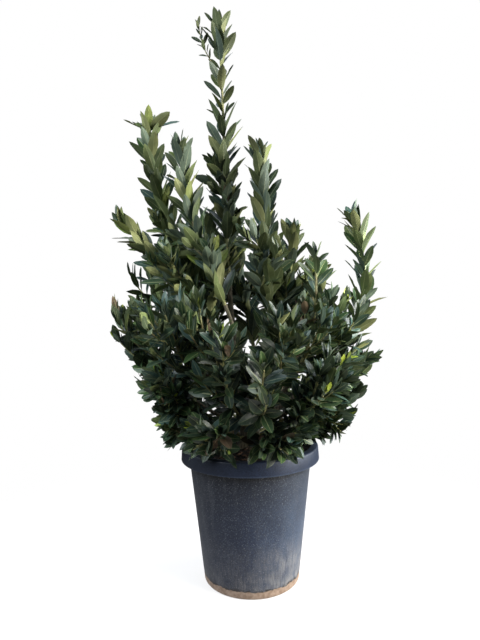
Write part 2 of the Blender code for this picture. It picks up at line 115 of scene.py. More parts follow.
def turned(profile, steps):
    """A closed solid turned round Z from a profile of (radius, height) that starts and ends on the axis."""
    bm = bmesh.new()
    points = [bm.verts.new((radius, 0.0, height)) for radius, height in profile]
    edges = [bm.edges.new(pair) for pair in zip(points, points[1:])]
    bmesh.ops.spin(
        bm,
        geom=points + edges,
        cent=(0.0, 0.0, 0.0),
        axis=(0.0, 0.0, 1.0),
        angle=math.tau,
        steps=steps,
        use_merge=True,
    )
    bmesh.ops.remove_doubles(bm, verts=bm.verts, dist=1e-5)
    bmesh.ops.recalc_face_normals(bm, faces=bm.faces)
    return bm


def round_rings(bm, height, low_radius, high_radius, offset, segments):
    """Rounds off the ring edges at a height, between two radii."""
    rings = [
        edge
        for edge in bm.edges
        if all(abs(vertex.co.z - height) < 1e-4 for vertex in edge.verts)
        and all(low_radius < vertex.co.xy.length < high_radius for vertex in edge.verts)
        and abs(edge.verts[0].co.xy.length - edge.verts[1].co.xy.length) < 1e-4
    ]
    bmesh.ops.bevel(
        bm,
        geom=rings,
        offset=offset,
        offset_type="OFFSET",
        affect="EDGES",
        segments=segments,
        profile=0.5,
        material=-1,
    )


def set_inputs(node, inputs):
    """Gives a node's inputs their values, or links them to other nodes' outputs."""
    for key, value in inputs.items():
        if isinstance(value, bpy.types.NodeSocket):
            node.id_data.links.new(value, node.inputs[key])
        else:
            node.inputs[key].default_value = value


def new_node(tree, kind, inputs=None, **settings):
    """A node with its settings, and its inputs given as values or as other nodes' outputs."""
    made = tree.nodes.new(kind)
    for name, value in settings.items():
        setattr(made, name, value)
    set_inputs(made, inputs or {})
    return made


def mixed(factor, first, second):
    """Two colours, each a node's output or three numbers, mixed by a mask."""
    colours = [(*colour, 1.0) if isinstance(colour, tuple) else colour for colour in (first, second)]
    inputs = {0: factor, 6: colours[0], 7: colours[1]}
    return new_node(factor.id_data, "ShaderNodeMix", inputs, data_type="RGBA").outputs[2]


def ranged(value, low, high, to_low=0.0, to_high=1.0):
    """A value mapped from low..high to to_low..to_high, clamped."""
    inputs = {"Value": value, "From Min": low, "From Max": high, "To Min": to_low, "To Max": to_high}
    return new_node(value.id_data, "ShaderNodeMapRange", inputs).outputs["Result"]


def noise_of(coordinates, scale, detail, stretch=None):
    """The value of a noise on the coordinates, stretched along the axes where stretch is given."""
    tree = coordinates.id_data
    if stretch:
        mapping = new_node(tree, "ShaderNodeMapping", {"Vector": coordinates, "Scale": stretch})
        coordinates = mapping.outputs["Vector"]
    inputs = {"Vector": coordinates, "Scale": scale, "Detail": detail}
    return new_node(tree, "ShaderNodeTexNoise", inputs).outputs["Fac"]


def worked(operation, *values):
    """The result of a sum on one or two values, of which the first is a node's output."""
    tree = values[0].id_data
    return new_node(tree, "ShaderNodeMath", dict(enumerate(values)), operation=operation).outputs["Value"]


def multiplied(first, second):
    """The product of a node's output and a value."""
    return worked("MULTIPLY", first, second)


def scaled(colour, factor):
    """A colour made lighter or darker by a factor."""
    inputs = {0: colour, "Scale": factor}
    return new_node(colour.id_data, "ShaderNodeVectorMath", inputs, operation="SCALE").outputs["Vector"]


def axis(coordinates, name):
    """One of the three parts, X, Y or Z, of some coordinates."""
    return new_node(coordinates.id_data, "ShaderNodeSeparateXYZ", {"Vector": coordinates}).outputs[name]


def new_surface(name):
    """A material, its shader and the coordinates on the piece that it covers."""
    surface = bpy.data.materials.new(name)
    surface.use_nodes = True
    shader = surface.node_tree.nodes["Principled BSDF"]
    coordinates = new_node(surface.node_tree, "ShaderNodeTexCoord").outputs["Object"]
    return surface, shader, coordinates


def relief(height, strength, distance):
    """The normals of a surface with relief on it, from the relief's height."""
    inputs = {"Height": height, "Strength": strength, "Distance": distance}
    return new_node(height.id_data, "ShaderNodeBump", inputs).outputs["Normal"]


def slate_with_painted_light(coordinates, below_skirt, fading):
    """The plastic's colour, faded at random, with painted sheen on the right and along the skirt's lip, and
    painted shade under the crown, under the skirt and on the left.
    """
    height = axis(coordinates, "Z")
    across = axis(coordinates, "X")
    salt = noise_of(coordinates, 260.0, 4.0)
    faded = ranged(worked("ADD", fading, multiplied(salt, 0.5)), 0.55, 0.95)
    colour = mixed(faded, SLATE, SLATE_FADED)
    # Painted sheen: the right side below the skirt is painted paler and bluer, in clouds.
    painted_side_light = multiplied(ranged(across, *PAINTED_SHEEN_ACROSS), below_skirt)
    cloudy = ranged(noise_of(coordinates, 22.0, 8.0), 0.30, 0.70, 0.45, 1.0)
    colour = mixed(multiplied(painted_side_light, cloudy), colour, PAINTED_SHEEN)
    # Painted shade: the wall is darker up under the crown.
    painted_crown_shade = multiplied(ranged(height, *PAINTED_SHADE_HEIGHTS), below_skirt)
    colour = mixed(painted_crown_shade, colour, SLATE_SHADED)
    # Painted shadow: a dark band on the wall just under the skirt.
    painted_skirt_shadow = ranged(height, SKIRT_FOOT - 0.020, SKIRT_FOOT - 0.010, 0.0, 0.9)
    colour = mixed(multiplied(painted_skirt_shadow, below_skirt), colour, SLATE_SHADED)
    # Painted highlight: a pale line along the skirt's lip.
    off_lip = worked("ABSOLUTE", worked("SUBTRACT", height, SKIRT_FOOT + 0.0015))
    colour = mixed(ranged(off_lip, 0.0012, 0.0024, 0.16, 0.0), colour, PAINTED_SHEEN)
    # Painted shade: the left side is darker.
    return mixed(ranged(across, *SHADED_ACROSS), colour, SLATE_SHADED)


def dusted(colour, coordinates, below_skirt):
    """The colour under dust, which lies in streaks, in specks and in runs low down."""
    streaks = noise_of(coordinates, 1.0, 5.0, stretch=(70.0, 70.0, 3.0))
    colour = mixed(multiplied(ranged(streaks, 0.50, 0.80, 0.0, 0.08), below_skirt), colour, DUST)
    specks = noise_of(coordinates, 480.0, 2.0)
    colour = mixed(multiplied(ranged(specks, 0.60, 0.71, 0.0, 0.50), below_skirt), colour, DUST)
    colour = scaled(colour, ranged(noise_of(coordinates, 330.0, 3.0), 0.36, 0.64, 0.74, 1.30))
    low_down = ranged(axis(coordinates, "Z"), *DUSTY_HEIGHTS)
    runs = ranged(noise_of(coordinates, 1.0, 4.0, stretch=(260.0, 260.0, 14.0)), 0.40, 0.54, 0.45, 1.0)
    patches = ranged(noise_of(coordinates, 34.0, 9.0), 0.36, 0.66, 0.20, 0.66)
    to_right = ranged(axis(coordinates, "X"), *DUSTY_ACROSS)
    dusty = multiplied(multiplied(low_down, patches), multiplied(to_right, runs))
    return mixed(dusty, colour, LOW_DUST)


def slate_plastic():
    """Slate polypropylene with painted sheen and shade, dust in streaks and specks and a tide line of dried
    mud.
    """
    surface, shader, coordinates = new_surface("slate_plastic")
    below_skirt = ranged(axis(coordinates, "Z"), SKIRT_FOOT - 0.004, SKIRT_FOOT - 0.001, 1.0, 0.0)
    fading = noise_of(coordinates, 9.0, 4.0)
    colour = dusted(slate_with_painted_light(coordinates, below_skirt, fading), coordinates, below_skirt)
    ragged = noise_of(coordinates, 55.0, 6.0)
    tide = worked("SUBTRACT", axis(coordinates, "Z"), multiplied(ragged, MUD_RAGGED))
    damp = ranged(tide, MUD_HEIGHT - 0.0010, MUD_HEIGHT - 0.0065)
    muddy = ranged(tide, MUD_HEIGHT - 0.008, MUD_HEIGHT - 0.010)
    blots = ranged(noise_of(coordinates, 95.0, 4.0), 0.42, 0.55, 0.15, 1.0)
    mud = mixed(ranged(noise_of(coordinates, 90.0, 5.0), 0.35, 0.65), MUD_DARK, MUD_PALE)
    colour = mixed(multiplied(damp, blots), colour, MUD_SHADE)
    clods = multiplied(muddy, multiplied(ragged, 3.0))
    finish = {
        "Base Color": mixed(muddy, colour, mud),
        "Specular IOR Level": 0.35,
        "Roughness": worked("ADD", ranged(fading, 0.3, 0.7, 0.42, 0.56), multiplied(muddy, 0.4)),
        "Normal": relief(worked("ADD", noise_of(coordinates, 640.0, 2.0), clods), 0.25, 0.0006),
    }
    set_inputs(shader, finish)
    return surface


def pot_mesh():
    """Turned from its profile, its rings rounded, with the drain holes cut through the floor."""
    shoulder = POT_RIM_RADIUS - SKIRT_FLARE
    underside = POT_HEIGHT - 2 * POT_WALL
    inner_rim = wall_radius(POT_HEIGHT) - POT_WALL
    lip = inner_rim + POT_WALL
    profile = (
        (0.0, 0.0),
        (0.6 * POT_BASE_RADIUS, 0.0),
        (POT_BASE_RADIUS, 0.0),
        (wall_radius(0.12), 0.12),
        (wall_radius(0.24), 0.24),
        (wall_radius(underside), underside),
        (shoulder - 0.004, underside),
        (POT_RIM_RADIUS - POT_WALL, SKIRT_FOOT),
        (POT_RIM_RADIUS, SKIRT_FOOT),
        (shoulder, POT_HEIGHT),
        (inner_rim, POT_HEIGHT),
        (wall_radius(0.2) - POT_WALL, 0.2),
        (wall_radius(FLOOR_EDGE) - POT_WALL, FLOOR_EDGE),
        (POT_BASE_RADIUS - POT_WALL - FLOOR_EDGE / 2, POT_WALL),
        (0.0, POT_WALL),
    )
    bm = turned(profile, POT_STEPS)
    round_rings(bm, 0.0, 0.9 * POT_BASE_RADIUS, 1.0, FOOT_ROUNDING, segments=5)
    round_rings(bm, SKIRT_FOOT, 0.17, 1.0, EDGE_ROUNDING, segments=3)
    round_rings(bm, POT_HEIGHT, lip, 1.0, RIM_ROUNDING, segments=6)
    round_rings(bm, POT_HEIGHT, 0.0, lip, EDGE_ROUNDING, segments=3)
    mesh = mesh_of("nursery_pot", bm)
    holder = bpy.data.objects.new("pot_blank", mesh)
    bpy.context.scene.collection.objects.link(holder)
    cutters = []
    for index in range(DRAIN_HOLES):
        turn = Matrix.Rotation(math.tau * (index + 0.37) / DRAIN_HOLES, 4, "Z")
        bm = bmesh.new()
        bmesh.ops.create_cone(
            bm,
            cap_ends=True,
            segments=24,
            radius1=DRAIN_HOLE_RADIUS,
            radius2=DRAIN_HOLE_RADIUS,
            depth=6 * POT_WALL,
            matrix=turn @ Matrix.Translation((DRAIN_RING_RADIUS, 0.0, 0.0)),
        )
        cutters.append(bpy.data.objects.new(f"drain_hole_{index}", mesh_of(f"drain_hole_{index}", bm)))
        bpy.context.scene.collection.objects.link(cutters[-1])
        hole = holder.modifiers.new(f"Drain hole {index}", "BOOLEAN")
        hole.operation = "DIFFERENCE"
        hole.object = cutters[-1]
    bpy.context.view_layer.update()
    cut = bpy.data.meshes.new_from_object(holder.evaluated_get(bpy.context.evaluated_depsgraph_get()))
    for thing in (holder, *cutters):
        bpy.data.objects.remove(thing)
    cut.set_sharp_from_angle(angle=math.radians(35))
    return cut


placed("nursery_pot", pot_mesh(), [slate_plastic()], ["pot"])

# ---------------------------------------------------------------- root ball
# Dark, crumbly compost that fills the pot to just under its rim and heaps up a little round the stem. Its
# crumbs are real relief, and flakes of bark mulch lie loose on it.
SOIL_BELOW_RIM = 0.014
SOIL_MOUND = 0.006
SOIL_CLEAR = 0.0006  # of the pot's wall
SOIL_SEAT = 0.0003  # above the pot's floor
CRUMB_HEIGHT = 0.0016
CRUMB_ROOM = 0.001  # how far the soil starts below its heap's height
SOIL_RINGS = 44
SOIL_STEPS = 144
SOIL_TOP = POT_HEIGHT - SOIL_BELOW_RIM + SOIL_MOUND
SOIL_DARK = (0.012, 0.009, 0.007)
SOIL_BROWN = (0.045, 0.028, 0.017)
MULCH_FLAKES = 420
MULCH_SEED = 11
MULCH_REACH = wall_radius(POT_HEIGHT) - 0.012
FLAKE_LENGTH = (0.005, 0.018)
FLAKE_WIDTH = 0.0045
FLAKE_THICKNESS = 0.0022
FLAKE_END = 0.35  # thickness of its ends, of its middle
FLAKE_TILT = 0.35
MULCH_DARK = (0.060, 0.032, 0.018)
MULCH_TAN = (0.260, 0.150, 0.085)


def soil_height(x, y):
    """Height of the soil's heap, without its crumbs."""
    share = min(1.0, math.hypot(x, y) / wall_radius(POT_HEIGHT))
    return SOIL_TOP - SOIL_MOUND * share**1.5


def root_ball_mesh():
    """Turned to fit the pot's inside, with crumbs and lumps raised on its top."""
    edge_height = POT_HEIGHT - SOIL_BELOW_RIM
    edge_radius = wall_radius(edge_height) - POT_WALL - SOIL_CLEAR
    floor = POT_WALL + SOIL_SEAT
    profile = [
        (0.0, floor),
        (POT_BASE_RADIUS - POT_WALL - SOIL_CLEAR - FLOOR_EDGE / 2, floor),
        (wall_radius(FLOOR_EDGE) - POT_WALL - SOIL_CLEAR, FLOOR_EDGE + SOIL_SEAT),
    ]
    for index in range(SOIL_RINGS):
        radius = edge_radius * (1 - index / SOIL_RINGS)
        profile.append((radius, soil_height(radius, 0.0) - CRUMB_ROOM))
    profile.append((0.0, SOIL_TOP - CRUMB_ROOM))
    bm = turned(profile, SOIL_STEPS)
    for vertex in bm.verts:
        radius = vertex.co.xy.length
        if vertex.co.z > edge_height - 0.004 and radius < edge_radius - 0.001:
            crumbs = noise.noise(vertex.co * 95) + 0.6 * noise.noise(vertex.co * 230)
            lumps = noise.noise(vertex.co * 28)
            vertex.co.z += CRUMB_HEIGHT * (crumbs + lumps)
    return mesh_of("compost_top", bm, sharp_angle=80)


def compost():
    """Damp compost in dark and brown crumbs."""
    surface, shader, coordinates = new_surface("compost")
    crumbs = noise_of(coordinates, 260.0, 5.0)
    colour = mixed(ranged(crumbs, 0.38, 0.66), SOIL_DARK, SOIL_BROWN)
    set_inputs(shader, {"Base Color": colour, "Roughness": 0.95, "Normal": relief(crumbs, 0.6, 0.0012)})
    return surface


def joined_shells(name, shells, shade_name):
    """One mesh from many closed shells, each given as its corners, triangles, slots and one shade."""
    shell_corners, shell_triangles, shell_slots, shell_shades = zip(*shells)
    starts = np.cumsum([0, *map(len, shell_corners)])
    corners = np.concatenate(shell_corners)
    triangles = np.concatenate([rows + start for rows, start in zip(shell_triangles, starts)])
    slots = np.concatenate(shell_slots)
    shades = np.repeat(shell_shades, [len(rows) for rows in shell_triangles])
    mesh = bpy.data.meshes.new(name)
    mesh.vertices.add(len(corners))
    mesh.vertices.foreach_set("co", corners.astype(np.float32).ravel())
    mesh.loops.add(3 * len(triangles))
    mesh.loops.foreach_set("vertex_index", triangles.astype(np.int32).ravel())
    mesh.polygons.add(len(triangles))
    mesh.polygons.foreach_set("loop_start", np.arange(0, 3 * len(triangles), 3, dtype=np.int32))
    mesh.polygons.foreach_set("material_index", slots.astype(np.int32))
    mesh.update(calc_edges=True)
    layer = mesh.attributes.new(shade_name, "FLOAT", "FACE")
    layer.data.foreach_set("value", shades.astype(np.float32))
    return mesh


def arrays_of(bm):
    """The corners, triangles and slots of a bm, which is freed."""
    bmesh.ops.triangulate(bm, faces=bm.faces)
    bm.verts.index_update()
    coordinates = np.array([vertex.co[:] for vertex in bm.verts])
    triangles = np.array([[vertex.index for vertex in face.verts] for face in bm.faces])
    slots = np.array([face.material_index for face in bm.faces])
    bm.free()
    return coordinates, triangles, slots


def mulch_mesh(chance):
    """Flakes of shredded bark, each a small bent wedge, lying on the soil clear of the stem and the wall."""
    flakes = []
    for _ in range(MULCH_FLAKES):
        bm = bmesh.new()
        bmesh.ops.create_cube(bm, size=1.0)
        long_edges = [edge for edge in bm.edges if abs(edge.verts[0].co.x - edge.verts[1].co.x) > 0.5]
        bmesh.ops.subdivide_edges(bm, edges=long_edges, cuts=1)
        length = chance.uniform(*FLAKE_LENGTH)
        for vertex in bm.verts:
            thin = FLAKE_END if abs(vertex.co.x) > 0.3 else 1.0
            vertex.co.y *= FLAKE_WIDTH * chance.uniform(0.7, 1.3) * (0.5 + 0.5 * thin)
            vertex.co.z = vertex.co.z * FLAKE_THICKNESS * thin + 0.0015 * chance.random()
            vertex.co.x *= length
        distance = MULCH_REACH * math.sqrt(chance.uniform(0.05, 1.0))
        bearing = chance.uniform(0, math.tau)
        x = distance * math.cos(bearing)
        y = distance * math.sin(bearing)
        turn = Matrix.Rotation(chance.uniform(0, math.tau), 4, "Z")
        turn = turn @ Matrix.Rotation(chance.uniform(-FLAKE_TILT, FLAKE_TILT), 4, "Y")
        laid = Matrix.Translation((x, y, soil_height(x, y) + chance.uniform(0.0, 0.002)))
        bmesh.ops.transform(bm, matrix=laid @ turn, verts=bm.verts)
        flakes.append((*arrays_of(bm), chance.random() ** 1.6))
    return joined_shells("bark_mulch", flakes, "flake_shade")


def mulch():
    """Shredded bark, from dark brown to tan, in fibres."""
    surface, shader, coordinates = new_surface("bark_mulch")
    shade = new_node(surface.node_tree, "ShaderNodeAttribute", attribute_name="flake_shade").outputs["Fac"]
    fibres = noise_of(coordinates, 300.0, 3.0)
    colour = mixed(shade, MULCH_DARK, MULCH_TAN)
    colour = mixed(ranged(fibres, 0.3, 0.7, 0.0, 0.5), colour, MULCH_DARK)
    set_inputs(shader, {"Base Color": colour, "Roughness": 0.85, "Normal": relief(fibres, 0.5, 0.0008)})
    return surface


placed("compost_top", root_ball_mesh(), [compost()], ["root_ball"])
placed("bark_mulch", mulch_mesh(random.Random(MULCH_SEED)), [mulch()])

# ---------------------------------------------------------------- short stem
# The old, cut-back stock that the shrub breaks from: grey-brown laurel bark over wood, lobed at its foot.
# Its bark has shallow furrows that run up it, and a green bloom in patches.
STEM_GAP = 0.0003  # over the compost
STEM_HEIGHT = 0.130
STEM_RADIUS = 0.026
STEM_FLARE = 0.014
STEM_FLARE_FALL = 6.0  # how fast the flare dies away up the stem
STEM_TAPER = 0.10
STEM_LOBES = 5
STEM_LOBE_DEPTH = 0.16
STEM_HEAD = 0.70  # share of its height where its head starts to draw in
STEM_HEAD_DRAW = 0.8  # how far out along a quarter circle the head's outline goes
STEM_FOOT = SOIL_TOP + STEM_GAP
STEM_SUNK = 0.004  # how far its bark goes down into the compost
STEM_FURROWS = 0.012
STEM_RINGS = 44
STEM_SIDES = 60
BARK_DARK = (0.062, 0.048, 0.030)
BARK_GREY = (0.195, 0.162, 0.108)
BARK_MOSS = (0.075, 0.080, 0.038)


def furrow(bm, size):
    """Raises bark on a bm, in furrows that run up it and in warts, their depth set by a size."""
    bm.normal_update()
    shifts = []
    for vertex in bm.verts:
        x, y, z = vertex.co
        furrows = noise.noise(Vector((x * 320, y * 320, z * 60)))
        warts = noise.noise(vertex.co * 240)
        shifts.append(vertex.normal * (size * (0.075 * furrows + 0.045 * warts)))
    for vertex, shift in zip(bm.verts, shifts):
        vertex.co += shift


def short_stem_bm():
    """Lofted from circles, lobed and flared at its foot and drawn in at its head, with its bark's relief."""
    bm = bmesh.new()
    ring = None
    for index in range(STEM_RINGS + 1):
        share = index / STEM_RINGS
        foot = math.exp(-STEM_FLARE_FALL * share)
        head = math.sqrt(1 - max(0.0, STEM_HEAD_DRAW * (share - STEM_HEAD) / (1 - STEM_HEAD)) ** 2)
        radius = (STEM_RADIUS * (1 - STEM_TAPER * share) + STEM_FLARE * foot) * head
        placing = Matrix.Translation((0.0, 0.0, STEM_FOOT - STEM_SUNK + (STEM_HEIGHT + STEM_SUNK) * share))
        loop = bmesh.ops.create_circle(bm, segments=STEM_SIDES, radius=radius, matrix=placing)["verts"]
        for vertex in loop:
            angle = math.atan2(vertex.co.y, vertex.co.x)
            lobe = 1 + STEM_LOBE_DEPTH * foot * math.cos(STEM_LOBES * angle)
            vertex.co.x *= lobe
            vertex.co.y *= lobe
        if ring is None:
            bm.faces.new(reversed(loop))
        else:
            for corners in zip(ring, ring[1:] + ring[:1], loop[1:] + loop[:1], loop):
                bm.faces.new(corners)
        ring = loop
    bm.faces.new(ring)
    bmesh.ops.recalc_face_normals(bm, faces=bm.faces)
    furrow(bm, STEM_FURROWS)
    return bm


def laurel_bark():
    """Bark in two browns with a green bloom, wrinkled lengthwise."""
    surface, shader, coordinates = new_surface("laurel_bark")
    patches = noise_of(coordinates, 45.0, 5.0)
    wrinkles = noise_of(coordinates, 260.0, 4.0, stretch=(1.0, 1.0, 0.22))
    colour = mixed(ranged(wrinkles, 0.35, 0.65), BARK_DARK, BARK_GREY)
    finish = {
        "Base Color": mixed(ranged(patches, 0.45, 0.70, 0.0, 0.7), colour, BARK_MOSS),
        "Roughness": ranged(wrinkles, 0.3, 0.7, 0.9, 0.65),
        "Normal": relief(wrinkles, 0.5, 0.0010),
    }
    set_inputs(shader, finish)
    return surface


old_bark = laurel_bark()
stem_bark = mesh_of("short_stem_bark", short_stem_bm(), 80)
placed("short_stem_bark", stem_bark, [old_bark], ["short_stem"])

# ---------------------------------------------------------------- boughs
# Thirty-three limbs that break from the short stem in four tiers, each one smooth line from its foot to its
# tip. The lower, leafless part of each is a bough in grey-brown bark, with a collar where it breaks out.
TWIG_RADIUS = 0.0026
TURN = math.radians(137.5)  # from one leaf or twig to the next, round their stem
BOUGH_STEP = 0.0035
BOUGH_FURROWS = 0.0065
BOUGH_KNOTS = 0.05  # swelling of every fourth ring, of its radius
COLLAR = 0.35  # swelling where a bough breaks out
COLLAR_REACH = 0.018
LIMB_HANDLE = 0.40  # how far a limb holds its first and last direction, of its length
SPRAY_LEAVES = 0.28  # share of a low spray's stem below its first leaf

# A limb leans by so many degrees from upright at its foot and its tip, and is bare of leaves up to a share
# of its line. Its twigs are counted, and its radius is the one at its foot.
Limb = namedtuple("Limb", "name tip tier foot_lean tip_lean bare twigs twig_length radius")
LIMBS = (
    Limb("tall_leader", (-0.066, 0.000, 1.461), 0, 9, 3, 0.34, 2, 0.08, 0.0085),
    Limb("left_leader", (-0.266, 0.040, 1.215), 0, 30, 4, 0.42, 2, 0.07, 0.0070),
    Limb("inner_left_leader", (-0.170, -0.040, 1.120), 0, 22, 4, 0.42, 2, 0.07, 0.0065),
    Limb("centre_leader", (0.038, -0.050, 1.105), 0, 22, -2, 0.38, 2, 0.07, 0.0075),
    Limb("right_shoulder", (0.128, 0.050, 0.914), 0, 24, 4, 0.40, 4, 0.10, 0.0065),
    Limb("far_left", (-0.322, -0.020, 0.938), 0, 14, 50, 0.42, 4, 0.10, 0.0065),
    Limb("back_leader", (-0.041, 0.200, 0.954), 0, 30, 6, 0.42, 4, 0.10, 0.0065),
    Limb("small_left_leader", (-0.106, 0.060, 0.950), 1, 42, 2, 0.45, 2, 0.08, 0.0060),
    Limb("far_right_leader", (0.292, 0.010, 0.945), 1, 74, -22, 0.46, 2, 0.06, 0.0070),
    Limb("right_leader", (0.169, -0.100, 0.836), 1, 56, -3, 0.40, 4, 0.09, 0.0065),
    Limb("mid_left", (-0.276, 0.090, 0.815), 1, 48, 22, 0.42, 4, 0.10, 0.0060),
    Limb("back_left", (-0.208, 0.220, 0.786), 1, 48, 14, 0.42, 4, 0.10, 0.0060),
    Limb("back_right", (0.126, 0.240, 0.797), 1, 46, 12, 0.42, 4, 0.10, 0.0060),
    Limb("front_mid", (-0.118, -0.165, 0.722), 1, 46, 10, 0.40, 4, 0.10, 0.0060),
    Limb("front_right", (0.098, -0.185, 0.675), 1, 50, 8, 0.40, 4, 0.10, 0.0060),
    Limb("low_left", (-0.286, -0.060, 0.705), 2, 64, 14, 0.42, 4, 0.10, 0.0055),
    Limb("front_left", (-0.200, -0.160, 0.709), 2, 60, 20, 0.40, 4, 0.10, 0.0055),
    Limb("right_back", (0.190, 0.165, 0.745), 2, 58, 12, 0.42, 4, 0.10, 0.0055),
    Limb("right_mid", (0.238, -0.060, 0.685), 2, 68, 8, 0.40, 4, 0.10, 0.0055),
    Limb("front_left_spray", (-0.070, -0.235, 0.655), 2, 68, 6, 0.0, 4, 0.09, 0.0050),
    Limb("front_centre_spray", (0.012, -0.250, 0.583), 2, 74, 14, 0.0, 4, 0.09, 0.0050),
    Limb("right_back_spray", (0.250, 0.150, 0.540), 2, 73, 42, 0.0, 5, 0.09, 0.0050),
    Limb("back_left_spray", (-0.136, 0.260, 0.527), 2, 76, 34, 0.0, 5, 0.09, 0.0050),
    Limb("back_right_spray", (0.092, 0.270, 0.522), 2, 76, 34, 0.0, 5, 0.09, 0.0050),
    Limb("left_back_spray", (-0.265, 0.095, 0.577), 2, 74, 38, 0.0, 5, 0.09, 0.0050),
    Limb("front_right_spray", (0.159, -0.200, 0.564), 3, 80, 20, 0.0, 5, 0.09, 0.0050),
    Limb("right_low_spray", (0.262, -0.030, 0.548), 3, 80, 36, 0.0, 5, 0.09, 0.0050),
    Limb("left_low_spray", (-0.212, -0.120, 0.555), 3, 80, 32, 0.0, 5, 0.09, 0.0050),
    Limb("right_skirt", (0.245, -0.085, 0.448), 3, 84, 78, 0.0, 4, 0.07, 0.0040),
    Limb("left_skirt", (-0.222, -0.060, 0.422), 3, 84, 82, 0.0, 4, 0.07, 0.0040),
    Limb("front_left_skirt", (-0.106, -0.200, 0.417), 3, 84, 88, 0.0, 4, 0.07, 0.0040),
    Limb("front_right_skirt", (0.079, -0.210, 0.416), 3, 84, 88, 0.0, 4, 0.07, 0.0040),
    Limb("back_skirt", (0.008, 0.220, 0.434), 3, 84, 84, 0.0, 4, 0.07, 0.0040),
)
TIER_SHARES = (0.78, 0.54, 0.36, 0.20)  # of the short stem's height
TIER_OFFSETS = (0.55, 0.30, 0.30, 0.30)  # from the middle, as a share of the short stem's radius
UP = Vector((0.0, 0.0, 1.0))


def foot_bearings():
    """Each limb's bearing at the short stem: even steps round each tier, in the order of the tips."""
    bearings = {}
    for tier in range(len(TIER_SHARES)):
        limbs = [limb for limb in LIMBS if limb.tier == tier]
        limbs.sort(key=lambda limb: math.atan2(limb.tip[1], limb.tip[0]))
        step = math.tau / len(limbs)
        offsets = [math.atan2(limb.tip[1], limb.tip[0]) - index * step for index, limb in enumerate(limbs)]
        middle = math.atan2(sum(map(math.sin, offsets)), sum(map(math.cos, offsets)))
        for index, limb in enumerate(limbs):
            bearings[limb.name] = middle + index * step
    return bearings


def limb_line(limb, bearing):
    """The four control points of a limb's smooth line."""
    tip = Vector(limb.tip)
    outward_foot = Vector((math.cos(bearing), math.sin(bearing), 0.0))
    outward_tip = Vector((tip.x, tip.y, 0.0)).normalized()
    foot = outward_foot * STEM_RADIUS * TIER_OFFSETS[limb.tier]
    foot += UP * (STEM_FOOT + STEM_HEIGHT * TIER_SHARES[limb.tier])
    handle = LIMB_HANDLE * (tip - foot).length
    foot_lean = math.radians(limb.foot_lean)
    tip_lean = math.radians(limb.tip_lean)
    leaving = outward_foot * math.sin(foot_lean) + UP * math.cos(foot_lean)
    arriving = outward_tip * math.sin(tip_lean) + UP * math.cos(tip_lean)
    return foot, foot + leaving * handle, tip - arriving * handle, tip


def on_line(line, share):
    """Point at a share of the line from its foot."""
    foot, foot_handle, tip_handle, tip = line
    rest = 1 - share
    return (
        foot * rest**3
        + foot_handle * 3 * share * rest**2
        + tip_handle * 3 * share**2 * rest
        + tip * share**3
    )


def along_line(line, steps, start=0.0, end=1.0):
    """Points at even steps along the line, between two shares of it."""
    return [on_line(line, start + (end - start) * index / steps) for index in range(steps + 1)]


def path_length(points):
    """Length of the path through the points."""
    return sum((end - begin).length for begin, end in zip(points, points[1:]))


def heading(line, share):
    """Direction of the line at a share of it from its foot."""
    return (on_line(line, share + 0.01) - on_line(line, share - 0.01)).normalized()


def limb_radius(limb, share):
    """Radius of a limb at a share of its line, down to a twig's at its tip."""
    return limb.radius + (TWIG_RADIUS - limb.radius) * share


def stem_mesh(name, stretches, roundness, furrows=0.0):
    """Round tapering stems as one mesh, each from its points and radii, with the bark's furrows on them."""
    curve = bpy.data.curves.new(name, "CURVE")
    curve.dimensions = "3D"
    curve.bevel_depth = 1.0
    curve.bevel_resolution = roundness
    curve.use_fill_caps = True
    for points, radii in stretches:
        spline = curve.splines.new("POLY")
        spline.points.add(len(points) - 1)
        for place, point, radius in zip(spline.points, points, radii):
            place.co = (*point, 1.0)
            place.radius = radius
    holder = bpy.data.objects.new(name, curve)
    mesh = bpy.data.meshes.new_from_object(holder)
    bpy.data.objects.remove(holder)
    bm = bmesh.new()
    bm.from_mesh(mesh)
    bmesh.ops.remove_doubles(bm, verts=bm.verts, dist=1e-6)
    bmesh.ops.recalc_face_normals(bm, faces=bm.faces)
    if furrows:
        furrow(bm, furrows)
    return mesh_of(name, bm, sharp_angle=70)


bearings = foot_bearings()
lines = {limb.name: limb_line(limb, bearings[limb.name]) for limb in LIMBS}


def limb_stretch(limb, start, end, step_length, collar=0.0, knots=0.0):
    """Points and radii along a limb, swollen at its foot by collar and at its knots by knots."""
    line = lines[limb.name]
    length = path_length(along_line(line, 24))
    steps = max(3, round(length * (end - start) / step_length))
    points = []
    radii = []
    for index in range(steps + 1):
        share = start + (end - start) * index / steps
        points.append(on_line(line, share))
        swollen = 1 + collar * math.exp(-share * length / COLLAR_REACH)
        knobbly = 1 + knots * (index % 4 == 1)
        radii.append(limb_radius(limb, share) * swollen * knobbly)
    return points, radii


boughs = [limb for limb in LIMBS if limb.bare]
bough_stretches = [
    limb_stretch(limb, 0.0, limb.bare, BOUGH_STEP, collar=COLLAR, knots=BOUGH_KNOTS) for limb in boughs
]
placed(
    "bough_bark",
    stem_mesh("bough_bark", bough_stretches, 5, furrows=BOUGH_FURROWS),
    [old_bark],
    [limb.name + "_bough" for limb in boughs],
)

